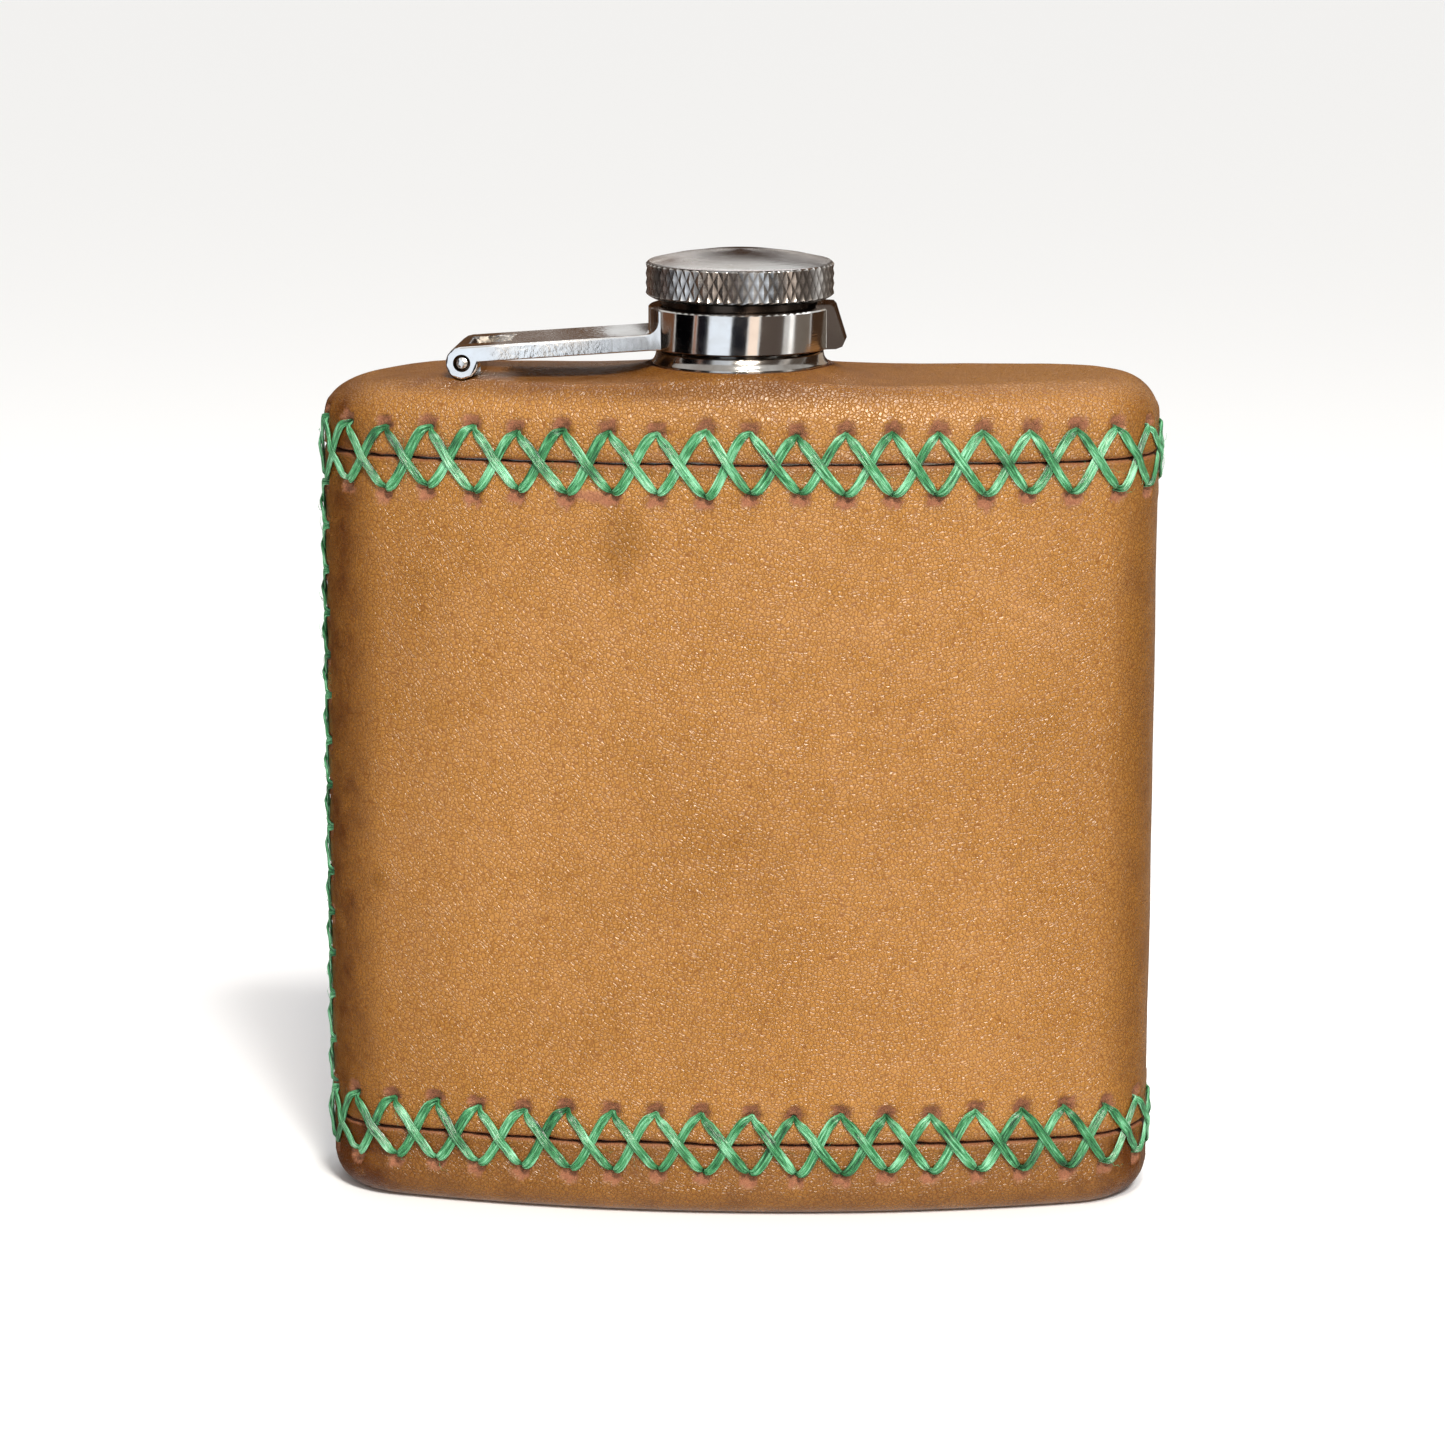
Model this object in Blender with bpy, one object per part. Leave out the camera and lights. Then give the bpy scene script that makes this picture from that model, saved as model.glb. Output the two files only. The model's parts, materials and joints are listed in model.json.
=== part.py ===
# Hip flask, six-ounce kidney-shaped steel body in a hand-stitched leather cover.
# Metres, +Z up, standing on its base. The convex front faces -Y and the hinge is at -X.
import math

import bmesh
import bpy
from mathutils import Matrix, Vector

mm = 0.001

# Leather cover, outside sizes.
coverWidth = 96.0 * mm
coverDepth = 25.0 * mm
coverHeight = 96.5 * mm
frontRadius = 145.0 * mm
backRadius = 165.0 * mm
endRadius = 11.0 * mm
shoulderDrop = 5.0 * mm
shoulderInsetEnds = 5.3 * mm
shoulderInsetMiddle = 1.6 * mm
baseRise = 3.9 * mm
baseInset = 3.2 * mm
neckRise = 1.5 * mm
neckRiseReach = 3.0 * mm
flareReach = 10.0 * mm
flareSteps = (7.0 * mm, 2.5 * mm, 0.0)
leatherThickness = 1.2 * mm
gap = 0.3 * mm
seamGap = 0.3 * mm
topSeamHeight = 87.9 * mm
bottomSeamHeight = 8.8 * mm
leatherHoleRadius = 10.35 * mm

# Steel body under the leather.
steelWall = 0.5 * mm
steelDepth = leatherThickness + gap
steelNeckRise = neckRise - gap
steelFlareRadius = 9.6 * mm
plateSkirtHeight = 91.0 * mm
bottomPlateHeight = 5.0 * mm

# Neck, on the middle of the body's width and thickness.
neckBoreRadius = 5.9 * mm
neckOuterRadius = 6.95 * mm
neckThreadMinor = 6.5 * mm
neckThreadMajor = 6.9 * mm
neckFlangeRadius = 8.4 * mm
neckBottom = 94.5 * mm
neckThreadBottom = 99.9 * mm
neckTop = 104.9 * mm
plateHoleRadius = 7.7 * mm
collarBottom = coverHeight + steelNeckRise - steelDepth + gap
collarTop = 99.45 * mm
collarRadius = 9.8 * mm
collarRimRadius = 10.05 * mm
threadPitch = 1.6 * mm

# Screw cap.
capRadius = 10.72 * mm
knurlDepth = 0.26 * mm
knurlCount = 58
knurlRows = 4
capHeadBottom = 105.45 * mm
capHeadTop = 109.6 * mm
capDomeRise = 1.3 * mm
capSkirtOuter = 8.8 * mm
capSkirtInner = 8.4 * mm
capSkirtBottom = 99.95 * mm
capFlangeRadius = 9.3 * mm
capFlangeThickness = 0.5 * mm
capCavityTop = 106.6 * mm
linerOuter = 8.1 * mm
linerMinor = 7.6 * mm
linerMajor = 7.85 * mm
linerBottom = 100.3 * mm
linerTop = 104.9 * mm
gasketThickness = 1.1 * mm
gasketBottom = 105.2 * mm

# Captive arm, hinge and ring.
armTurn = math.radians(-2.0)
armReach = 31.15 * mm
armSlope = math.radians(4.39)
armWidth = 12.0 * mm
armThickness = 1.87 * mm
armEdgeRound = 0.22 * mm
pinHeight = 98.2 * mm
pinRadius = 0.7 * mm
pinHoleRadius = 1.0 * mm
slotWidth = 6.6 * mm
slotReach = 5.2 * mm
lugWidth = slotWidth - 2 * gap
ringOuter = 10.42 * mm
ringBore = 9.1 * mm
ringCounterbore = 9.6 * mm
ringBottom = 99.85 * mm
ringStep = 100.8 * mm
ringTop = 104.5 * mm
shelfReach = 8.9 * mm
shelfRound = 1.4 * mm
tabTop = 104.9 * mm
tabRootWidth = 7.0 * mm
tabTipWidth = 4.0 * mm
tabReach = 12.1 * mm
bracketLength = 4.0 * mm
bracketThickness = 0.7 * mm
bracketWidth = lugWidth + 1.6 * mm

# Waxed thread of the cross-stitched seams.
stitchCount = 42
stitchHalfHeight = 3.5 * mm
threadWidth = 1.2 * mm
threadThickness = 0.35 * mm
threadLift = 0.3 * mm
crossLift = 0.5 * mm
sideStitchCount = 14
sideSeamStart = 12.2 * mm
sideStitchPitch = 5.1 * mm
sideHalfWidth = 2.9 * mm

roundSegments = 64
neckSegments = 36

# Steps round the front arc, each end's quarter and the back arc of the plan.
coverSteps = (20, 7, 16)
steelSteps = (10, 4, 8)


def clearScene():
    for item in list(bpy.data.objects):
        bpy.data.objects.remove(item, do_unlink=True)


def makeMaterial(name, colour, roughness, metallic):
    material = bpy.data.materials.new(name)
    material.use_nodes = True
    surface = material.node_tree.nodes["Principled BSDF"]
    surface.inputs["Base Color"].default_value = (*colour, 1.0)
    surface.inputs["Roughness"].default_value = roughness
    surface.inputs["Metallic"].default_value = metallic
    material.diffuse_color = (*colour, 1.0)
    return material


# The body's plan is a kidney: a convex front arc, a concave back arc and round ends.
frontCentreY = frontRadius - coverDepth / 2
backCentreY = backRadius + coverDepth / 2
endCentreX = coverWidth / 2 - endRadius
frontEndY = frontCentreY - math.sqrt((frontRadius - endRadius) ** 2 - endCentreX**2)
backEndY = backCentreY - math.sqrt((backRadius + endRadius) ** 2 - endCentreX**2)
centreShift = (backEndY + endRadius - coverDepth / 2) / 2
neckY = -centreShift


def planPoints(inset, steps=coverSteps):
    """Closed plan outline inside the cover's outside face, with its outward normals."""
    frontSteps, endSteps, backSteps = steps
    frontAngle = math.asin(endCentreX / (frontRadius - endRadius))
    backAngle = math.asin(endCentreX / (backRadius + endRadius))
    radius = endRadius - inset
    points = []

    def add(x, y, normalX, normalY):
        points.append((Vector((x, y - centreShift)), Vector((normalX, normalY))))

    for step in range(frontSteps):
        angle = -frontAngle + 2 * frontAngle * step / frontSteps
        side = math.sin(angle)
        ahead = -math.cos(angle)
        reach = frontRadius - inset
        add(reach * side, frontCentreY + reach * ahead, side, ahead)
    for step in range(endSteps + 1):
        angle = frontAngle + (math.pi / 2 - frontAngle) * step / endSteps
        side = math.sin(angle)
        ahead = -math.cos(angle)
        add(endCentreX + radius * side, frontEndY + radius * ahead, side, ahead)
    for step in range(endSteps):
        angle = (math.pi / 2 + backAngle) * step / endSteps
        side = math.cos(angle)
        ahead = math.sin(angle)
        add(endCentreX + radius * side, backEndY + radius * ahead, side, ahead)
    for step in range(backSteps):
        angle = backAngle - 2 * backAngle * step / backSteps
        reach = backRadius + inset
        add(reach * math.sin(angle), backCentreY - reach * math.cos(angle), -math.sin(angle), math.cos(angle))
    for step in range(endSteps):
        angle = math.pi / 2 - backAngle + (math.pi / 2 + backAngle) * step / endSteps
        side = math.cos(angle)
        ahead = math.sin(angle)
        add(-endCentreX + radius * side, backEndY + radius * ahead, side, ahead)
    for step in range(endSteps):
        angle = math.pi / 2 + (math.pi / 2 - frontAngle) * step / endSteps
        side = -math.sin(angle)
        ahead = math.cos(angle)
        add(-endCentreX + radius * side, frontEndY + radius * ahead, side, ahead)
    return points


def wallRing(inset, height, steps=coverSteps):
    return [Vector((p.x, p.y, height)) for p, n in planPoints(inset, steps)]


def neckLift(point, depth):
    """Lift of the top face round the neck; the steel lifts a little less than the leather."""
    away = (Vector((point.x, point.y)) - Vector((0, neckY))).length - leatherHoleRadius
    rise = neckRise if depth < steelDepth else steelNeckRise
    return rise * math.exp(-max(away, 0.0) / neckRiseReach)


def shoulderRing(depth, turn, steps=coverSteps):
    """Ring on the shoulder's quarter ellipse: turn 0 is the wall, 90 degrees the top face."""
    ring = []
    for p, n in planPoints(depth, steps):
        ends = min(abs(p.x) / endCentreX, 1.0) ** 2
        inset = shoulderInsetMiddle + (shoulderInsetEnds - shoulderInsetMiddle) * ends
        inset = max(inset - depth, gap)
        flat = p - n * inset * (1 - math.cos(turn))
        rise = neckLift(flat, depth)
        drop = (shoulderDrop - depth) * (1 - math.sin(turn))
        ring.append(Vector((flat.x, flat.y, coverHeight + rise * math.sin(turn) - depth - drop)))
    return ring


def topFaceRing(depth, holeRadius, away, steps=coverSteps):
    """Ring on the top face at a distance from a round hole about the neck."""
    ring = []
    for point in shoulderRing(depth, math.pi / 2, steps):
        edge = Vector((point.x, point.y))
        direction = (edge - Vector((0, neckY))).normalized()
        hole = Vector((0, neckY)) + direction * holeRadius
        span = (edge - hole).length
        flat = hole + (edge - hole) * min(away / span, away / flareReach)
        ring.append(Vector((flat.x, flat.y, coverHeight + neckLift(flat, depth) - depth)))
    return ring


def baseRing(depth, turn, steps=coverSteps):
    """Ring on the base's round edge: turn 0 is the wall, 90 degrees the underside."""
    ring = []
    for p, n in planPoints(depth, steps):
        flat = p - n * (baseInset - depth) * (1 - math.cos(turn))
        height = depth + (baseRise - depth) * (1 - math.sin(turn))
        ring.append(Vector((flat.x, flat.y, height)))
    return ring


def skin(mesh, rings, closed):
    """Joins rings of equal count with quads. An open run of rings is capped at both ends."""
    loops = [[mesh.verts.new(p) for p in ring] for ring in rings]
    count = len(loops[0])
    pairs = list(zip(loops, loops[1:]))
    if closed:
        pairs.append((loops[-1], loops[0]))
    else:
        mesh.faces.new(reversed(loops[0]))
        mesh.faces.new(loops[-1])
    for low, high in pairs:
        for index in range(count):
            after = (index + 1) % count
            mesh.faces.new((low[index], low[after], high[after], high[index]))


def turnedRings(profile, segments):
    """Rings of a turned piece about its own Z axis, from pairs of radius and height."""
    rings = []
    for radius, height in profile:
        ring = []
        for index in range(segments):
            angle = math.tau * index / segments
            ring.append(Vector((radius * math.cos(angle), radius * math.sin(angle), height)))
        rings.append(ring)
    return rings


def finish(name, mesh, material, parent, smoothAngle=30.0):
    bmesh.ops.recalc_face_normals(mesh, faces=mesh.faces)
    data = bpy.data.meshes.new(name)
    mesh.to_mesh(data)
    mesh.free()
    data.materials.append(material)
    data.shade_smooth()
    data.set_sharp_from_angle(angle=math.radians(smoothAngle))
    item = bpy.data.objects.new(name, data)
    bpy.context.collection.objects.link(item)
    item.parent = parent
    return item


def addSkin(name, rings, material, parent, closed=True):
    mesh = bmesh.new()
    skin(mesh, rings, closed)
    return finish(name, mesh, material, parent)


def addTurned(name, profile, material, parent, segments=roundSegments, closed=True):
    return addSkin(name, turnedRings(profile, segments), material, parent, closed)


def extrudeProfile(mesh, outline, width):
    """Extrudes an outline in the XZ plane to a slab centred on Y."""
    start = [mesh.verts.new((x, -width / 2, z)) for x, z in outline]
    face = mesh.faces.new(start)
    moved = bmesh.ops.extrude_face_region(mesh, geom=[face])
    ends = [part for part in moved["geom"] if isinstance(part, bmesh.types.BMVert)]
    bmesh.ops.translate(mesh, verts=ends, vec=(0, width, 0))
    bmesh.ops.recalc_face_normals(mesh, faces=mesh.faces)


def roundSlabEdges(mesh, offset):
    """Rounds the edges of the slab's two side faces."""
    flats = [face for face in mesh.faces if abs(face.normal.y) > 0.99]
    edges = {edge for face in flats for edge in face.edges}
    bmesh.ops.bevel(
        mesh, geom=list(edges), offset=offset, offset_type="OFFSET", segments=2,
        profile=0.5, affect="EDGES", clamp_overlap=True,
    )


def makeTool(name, mesh, parent):
    """A hidden shape that is joined to or cut from another."""
    bmesh.ops.recalc_face_normals(mesh, faces=mesh.faces)
    data = bpy.data.meshes.new(name)
    mesh.to_mesh(data)
    mesh.free()
    data.shade_smooth()
    data.set_sharp_from_angle(angle=math.radians(30.0))
    tool = bpy.data.objects.new(name, data)
    bpy.context.collection.objects.link(tool)
    tool.parent = parent
    tool.hide_render = True
    tool.display_type = "WIRE"
    return tool


def boxTool(name, low, high, parent):
    mesh = bmesh.new()
    bmesh.ops.create_cube(mesh, size=1.0)
    size = Vector(high) - Vector(low)
    middle = (Vector(high) + Vector(low)) / 2
    bmesh.ops.scale(mesh, verts=mesh.verts, vec=size)
    bmesh.ops.translate(mesh, verts=mesh.verts, vec=middle)
    return makeTool(name, mesh, parent)


def turnedTool(name, profile, parent):
    mesh = bmesh.new()
    skin(mesh, turnedRings(profile, roundSegments), False)
    return makeTool(name, mesh, parent)


def crossPinTool(name, radius, length, parent):
    mesh = bmesh.new()
    turn = Matrix.Rotation(math.pi / 2, 4, "X")
    bmesh.ops.create_cone(
        mesh, cap_ends=True, segments=24, radius1=radius, radius2=radius, depth=length, matrix=turn,
    )
    return makeTool(name, mesh, parent)


def combine(item, tool, operation):
    step = item.modifiers.new(tool.name, "BOOLEAN")
    step.operation = operation
    step.solver = "EXACT"
    step.object = tool


def threadLevels(bottom, top, minor, major, segments):
    """Rings of a helical screw thread between two heights."""
    perTurn = 4
    count = round((top - bottom) / threadPitch * perTurn)
    rings = []
    for level in range(count + 1):
        height = bottom + (top - bottom) * level / count
        fade = min(level, count - level, 1)
        ring = []
        for index in range(segments):
            angle = math.tau * index / segments
            phase = ((height - bottom) / threadPitch - index / segments) % 1.0
            crest = (1 - abs(2 * phase - 1)) * fade
            radius = minor + (major - minor) * crest
            ring.append(Vector((radius * math.cos(angle), radius * math.sin(angle), height)))
        rings.append(ring)
    return rings


def makeSteelBody(steel, root):
    """A drawn wall with a pressed plate welded in at each end."""
    wallTop = plateSkirtHeight - gap
    wallBottom = bottomPlateHeight + gap
    inside = steelDepth + steelWall
    addSkin("steel_body_wall", [
        wallRing(steelDepth, wallBottom, steelSteps), wallRing(steelDepth, wallTop, steelSteps),
        wallRing(inside, wallTop, steelSteps), wallRing(inside, wallBottom, steelSteps),
    ], steel, root)
    outer = [wallRing(steelDepth, plateSkirtHeight, steelSteps)]
    inner = [wallRing(inside, plateSkirtHeight, steelSteps)]
    for rings, depth in ((outer, steelDepth), (inner, inside)):
        for degrees in (0, 30, 60, 90):
            rings.append(shoulderRing(depth, math.radians(degrees), steelSteps))
        for away in flareSteps:
            rings.append(topFaceRing(depth, steelFlareRadius, away, steelSteps))
        rings.append(topFaceRing(depth, plateHoleRadius, 0.0, steelSteps))
    addSkin("steel_top_plate", outer + inner[::-1], steel, root)
    outer = [wallRing(steelDepth, bottomPlateHeight, steelSteps)]
    inner = [wallRing(inside, bottomPlateHeight, steelSteps)]
    for rings, depth in ((outer, steelDepth), (inner, inside)):
        for degrees in (0, 45, 90):
            rings.append(baseRing(depth, math.radians(degrees), steelSteps))
    addSkin("steel_bottom_plate", outer[::-1] + inner, steel, root, closed=False)


def makeNeck(steel, root):
    below = turnedRings([
        (neckBoreRadius, neckBottom), (neckFlangeRadius, neckBottom),
        (neckFlangeRadius, neckBottom + 0.7 * mm), (neckOuterRadius, neckBottom + 0.7 * mm),
        (neckOuterRadius, neckThreadBottom - 0.2 * mm),
    ], neckSegments)
    thread = threadLevels(
        neckThreadBottom, neckTop - 0.4 * mm, neckThreadMinor, neckThreadMajor, neckSegments,
    )
    above = turnedRings([
        (neckThreadMinor - 0.1 * mm, neckTop), (neckBoreRadius, neckTop),
    ], neckSegments)
    tube = addSkin("neck_tube", below + thread + above, steel, root)
    collar = addTurned("neck_collar", [
        (plateHoleRadius, collarBottom), (collarRimRadius, collarBottom),
        (collarRimRadius, coverHeight + neckRise + 0.1 * mm),
        (collarRimRadius - 0.06 * mm, coverHeight + neckRise + 0.22 * mm),
        (collarRadius, coverHeight + neckRise + 0.45 * mm),
        (collarRadius - 0.18 * mm, coverHeight + neckRise + 0.85 * mm),
        (collarRadius - 0.25 * mm, collarTop - 0.15 * mm), (collarRadius - 0.4 * mm, collarTop),
        (plateHoleRadius, collarTop),
    ], steel, root, 48)
    for item in (tube, collar):
        item.location = (0, neckY, 0)


def makeCap(steel, rubber, capAxis):
    segments = knurlCount * 2
    rings = turnedRings([
        (capSkirtInner, capSkirtBottom), (capFlangeRadius, capSkirtBottom),
        (capFlangeRadius, capSkirtBottom + capFlangeThickness),
        (capSkirtOuter, capSkirtBottom + capFlangeThickness), (capSkirtOuter, capHeadBottom),
        (capRadius - 0.7 * mm, capHeadBottom), (capRadius - knurlDepth, capHeadBottom + 0.25 * mm),
    ], segments)
    bandBottom = capHeadBottom + 0.45 * mm
    bandTop = capHeadTop - 0.35 * mm
    for row in range(knurlRows):
        height = bandBottom + (bandTop - bandBottom) * row / (knurlRows - 1)
        ring = []
        for index in range(segments):
            peak = (index + row) % 2 == 0
            radius = capRadius if peak else capRadius - knurlDepth
            angle = math.tau * index / segments
            ring.append(Vector((radius * math.cos(angle), radius * math.sin(angle), height)))
        rings.append(ring)
    domeRadius = capRadius - 0.4 * mm
    dome = [(capRadius - knurlDepth + 0.05 * mm, capHeadTop - 0.15 * mm)]
    for share in (1.0, 0.75, 0.4):
        dome.append((domeRadius * share, capHeadTop + capDomeRise * (1 - share**2)))
    rings += turnedRings(dome, segments)
    mesh = bmesh.new()
    loops = [[mesh.verts.new(p) for p in ring] for ring in rings]
    cavity = [mesh.verts.new(p) for p in turnedRings([(capSkirtInner, capCavityTop)], segments)[0]]
    loops.insert(0, cavity)
    for row, (low, high) in enumerate(zip(loops, loops[1:])):
        for index in range(segments):
            after = (index + 1) % segments
            corners = (low[index], low[after], high[after], high[index])
            peakFirst = low[index].co.xy.length > low[after].co.xy.length
            if abs(low[index].co.xy.length - low[after].co.xy.length) < 0.01 * mm:
                mesh.faces.new(corners)
            elif peakFirst:
                mesh.faces.new((corners[0], corners[1], corners[3]))
                mesh.faces.new((corners[1], corners[2], corners[3]))
            else:
                mesh.faces.new((corners[0], corners[1], corners[2]))
                mesh.faces.new((corners[0], corners[2], corners[3]))
    for loop, height in ((loops[0], capCavityTop), (loops[-1], capHeadTop + capDomeRise)):
        centre = mesh.verts.new((0, 0, height))
        for index in range(segments):
            mesh.faces.new((loop[index], loop[(index + 1) % segments], centre))
    finish("screw_cap", mesh, steel, capAxis)
    inside = threadLevels(
        linerBottom + 0.4 * mm, linerTop - 0.4 * mm, linerMajor, linerMinor, neckSegments,
    )
    outside = turnedRings([
        (linerMajor, linerTop), (linerOuter, linerTop), (linerOuter, linerBottom),
        (linerMajor, linerBottom),
    ], neckSegments)
    addSkin("cap_thread_liner", inside + outside, steel, capAxis)
    addTurned("cap_seal_disc", [
        (linerOuter - 0.2 * mm, gasketBottom), (linerOuter, gasketBottom + 0.2 * mm),
        (linerOuter, gasketBottom + gasketThickness - 0.2 * mm),
        (linerOuter - 0.2 * mm, gasketBottom + gasketThickness),
    ], rubber, capAxis, neckSegments, closed=False)


def makeArm(steel, hinge):
    """The arm lies along its own +X from the pin; the ring is at its far end."""
    along = Vector((math.cos(armSlope), math.sin(armSlope)))
    across = Vector((-math.sin(armSlope), math.cos(armSlope)))
    shelfX = armReach - shelfReach
    outline = []
    arcSteps = 14
    for step in range(arcSteps + 1):
        angle = math.pi / 2 + armSlope + (math.pi * 1.5) * step / arcSteps
        outline.append((armThickness * math.cos(angle), armThickness * math.sin(angle)))
    underside = along * ((ringBottom - pinHeight) / along.y)
    outline.append((underside.x, underside.y))
    inside = armReach - 7.0 * mm
    outline.append((inside, ringBottom - pinHeight))
    outline.append((inside, ringTop - pinHeight - 0.1 * mm))
    outline.append((shelfX, ringTop - pinHeight - 0.1 * mm))
    filletX = shelfX - shelfRound
    filletZ = across.y * armThickness + filletX * math.tan(armSlope) + shelfRound
    for degrees in (90, 68, 45, 23, 0):
        angle = math.radians(degrees)
        outline.append((filletX + shelfRound * math.sin(angle), filletZ - shelfRound * math.cos(angle)))
    mesh = bmesh.new()
    extrudeProfile(mesh, outline, armWidth)
    roundSlabEdges(mesh, armEdgeRound)
    arm = finish("captive_arm", mesh, steel, hinge)

    ringAxis = bpy.data.objects.new("arm_ring_axis", None)
    bpy.context.collection.objects.link(ringAxis)
    ringAxis.parent = hinge
    ringAxis.location = (armReach, 0, -pinHeight)
    ring = turnedTool("arm_ring_band", [
        (ringOuter - 0.15 * mm, ringBottom), (ringOuter, ringBottom + 0.15 * mm),
        (ringOuter, ringTop - 0.15 * mm), (ringOuter - 0.15 * mm, ringTop),
    ], ringAxis)
    combine(arm, ring, "UNION")
    combine(arm, thumbTabTool(ringAxis), "UNION")

    bore = turnedTool("arm_ring_bore", [
        (ringCounterbore, ringBottom - 1.0 * mm), (ringCounterbore, ringStep),
        (ringBore, ringStep), (ringBore, ringTop - 0.3 * mm),
        (ringBore + 0.3 * mm, ringTop), (ringBore + 0.3 * mm, tabTop + 1.0 * mm),
    ], ringAxis)
    combine(arm, bore, "DIFFERENCE")

    slot = boxTool(
        "arm_fork_slot", (-3.0 * mm, -slotWidth / 2, -3.0 * mm),
        (slotReach, slotWidth / 2, 4.0 * mm), hinge,
    )
    combine(arm, slot, "DIFFERENCE")
    pinHole = crossPinTool("arm_pin_hole", pinHoleRadius, armWidth + 2 * mm, hinge)
    combine(arm, pinHole, "DIFFERENCE")


def thumbTabTool(ringAxis):
    """A lip that flares out downwards and narrows from the ring to its tip."""
    root = 8.0 * mm
    edge = [
        (tabReach - 1.0 * mm, ringBottom), (tabReach - 0.3 * mm, ringBottom + 0.25 * mm),
        (tabReach, ringBottom + 0.9 * mm), (ringOuter + 0.45 * mm, tabTop - 0.35 * mm),
        (ringOuter + 0.1 * mm, tabTop),
    ]
    rings = []
    for side in (-1, 1):
        ring = [Vector((root, side * tabRootWidth / 2, ringBottom))]
        for reach, height in edge:
            share = (reach - root) / (tabReach - root)
            half = (tabRootWidth + (tabTipWidth - tabRootWidth) * share) / 2
            ring.append(Vector((reach, side * half, height)))
        ring.append(Vector((root, side * tabRootWidth / 2, tabTop)))
        rings.append(ring)
    mesh = bmesh.new()
    skin(mesh, rings, False)
    return makeTool("arm_thumb_tab", mesh, ringAxis)


def makeHingeBracket(steel, root):
    """A welded foot with one round-topped lug between the arm's two forks."""
    footBottom = coverHeight - steelDepth + gap - pinHeight
    footTop = footBottom + bracketThickness
    outline = []
    steps = 10
    for step in range(steps + 1):
        angle = -math.radians(20) + math.radians(220) * step / steps
        outline.append((armThickness * math.cos(angle), armThickness * math.sin(angle)))
    outline.append((-armThickness * math.cos(math.radians(20)), footBottom))
    outline.append((armThickness * math.cos(math.radians(20)), footBottom))
    mesh = bmesh.new()
    extrudeProfile(mesh, outline, lugWidth)
    bracket = finish("hinge_bracket", mesh, steel, root)
    foot = boxTool(
        "hinge_bracket_foot", (-bracketLength / 2, -bracketWidth / 2, footBottom),
        (bracketLength / 2, bracketWidth / 2, footTop), bracket,
    )
    combine(bracket, foot, "UNION")
    hole = crossPinTool("hinge_bracket_hole", pinHoleRadius, armWidth, bracket)
    combine(bracket, hole, "DIFFERENCE")

    half = armWidth / 2 - 0.15 * mm
    mesh = bmesh.new()
    rings = turnedRings([
        (pinRadius * 0.5, -half), (pinRadius * 0.9, -half + 0.12 * mm), (pinRadius, -half + 0.35 * mm),
        (pinRadius, half - 0.35 * mm), (pinRadius * 0.9, half - 0.12 * mm), (pinRadius * 0.5, half),
    ], 20)
    skin(mesh, rings, False)
    bmesh.ops.rotate(mesh, verts=mesh.verts, matrix=Matrix.Rotation(math.pi / 2, 3, "X"))
    pin = finish("hinge_pin", mesh, steel, root)
    for item in (bracket, pin):
        item.location = hingePlace
        item.rotation_euler = (0, 0, armTurn)


def makeLeather(leather, root):
    thin = leatherThickness
    outer = [wallRing(0, topSeamHeight + seamGap / 2)]
    inner = [wallRing(thin, topSeamHeight + seamGap / 2)]
    for rings, depth in ((outer, 0.0), (inner, thin)):
        for degrees in (0, 24, 46, 68, 90):
            rings.append(shoulderRing(depth, math.radians(degrees)))
        for away in flareSteps:
            rings.append(topFaceRing(depth, leatherHoleRadius, away))
    top = addSkin("leather_top", outer + inner[::-1], leather, root)
    footHole = boxTool(
        "hinge_foot_hole", (-bracketLength / 2 - gap, -bracketWidth / 2 - gap, -6 * mm),
        (bracketLength / 2 + gap, bracketWidth / 2 + gap, 3 * mm), root,
    )
    knuckleGroove = crossPinTool("hinge_groove", armThickness + 0.35 * mm, armWidth + 2.4 * gap, root)
    for cutter in (footHole, knuckleGroove):
        cutter.location = hingePlace
        cutter.rotation_euler = (0, 0, armTurn)
        combine(top, cutter, "DIFFERENCE")

    wrapTop = topSeamHeight - seamGap / 2
    wrapBottom = bottomSeamHeight + seamGap / 2
    wrap = addSkin("leather_wrap", [
        wallRing(0, wrapBottom), wallRing(0, wrapTop), wallRing(thin, wrapTop), wallRing(thin, wrapBottom),
    ], leather, root)
    slit = boxTool(
        "side_seam_slit", (-coverWidth / 2 - mm, sideSeamY - seamGap / 2, wrapBottom - mm),
        (-coverWidth / 2 + 3 * mm, sideSeamY + seamGap / 2, wrapTop + mm), root,
    )
    combine(wrap, slit, "DIFFERENCE")

    outer = [wallRing(0, bottomSeamHeight - seamGap / 2)]
    inner = [wallRing(thin, bottomSeamHeight - seamGap / 2)]
    for rings, depth in ((outer, 0.0), (inner, thin)):
        for degrees in (0, 30, 60, 90):
            rings.append(baseRing(depth, math.radians(degrees)))
    addSkin("leather_bottom", outer[::-1] + inner, leather, root, closed=False)


def wallLength():
    corners = planPoints(0)
    total = 0.0
    for index, (p, n) in enumerate(corners):
        total += (corners[(index + 1) % len(corners)][0] - p).length
    return total


def onWall(distance, lift):
    """Place and outward normal at a distance round the cover's wall."""
    corners = planPoints(0)
    distance = distance % wallLength()
    for index, (p, n) in enumerate(corners):
        after, afterNormal = corners[(index + 1) % len(corners)]
        span = (after - p).length
        if distance <= span:
            share = distance / span
            normal = n.lerp(afterNormal, share).normalized()
            return p.lerp(after, share) + normal * lift, normal
        distance -= span
    return corners[0][0] + corners[0][1] * lift, corners[0][1]


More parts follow.
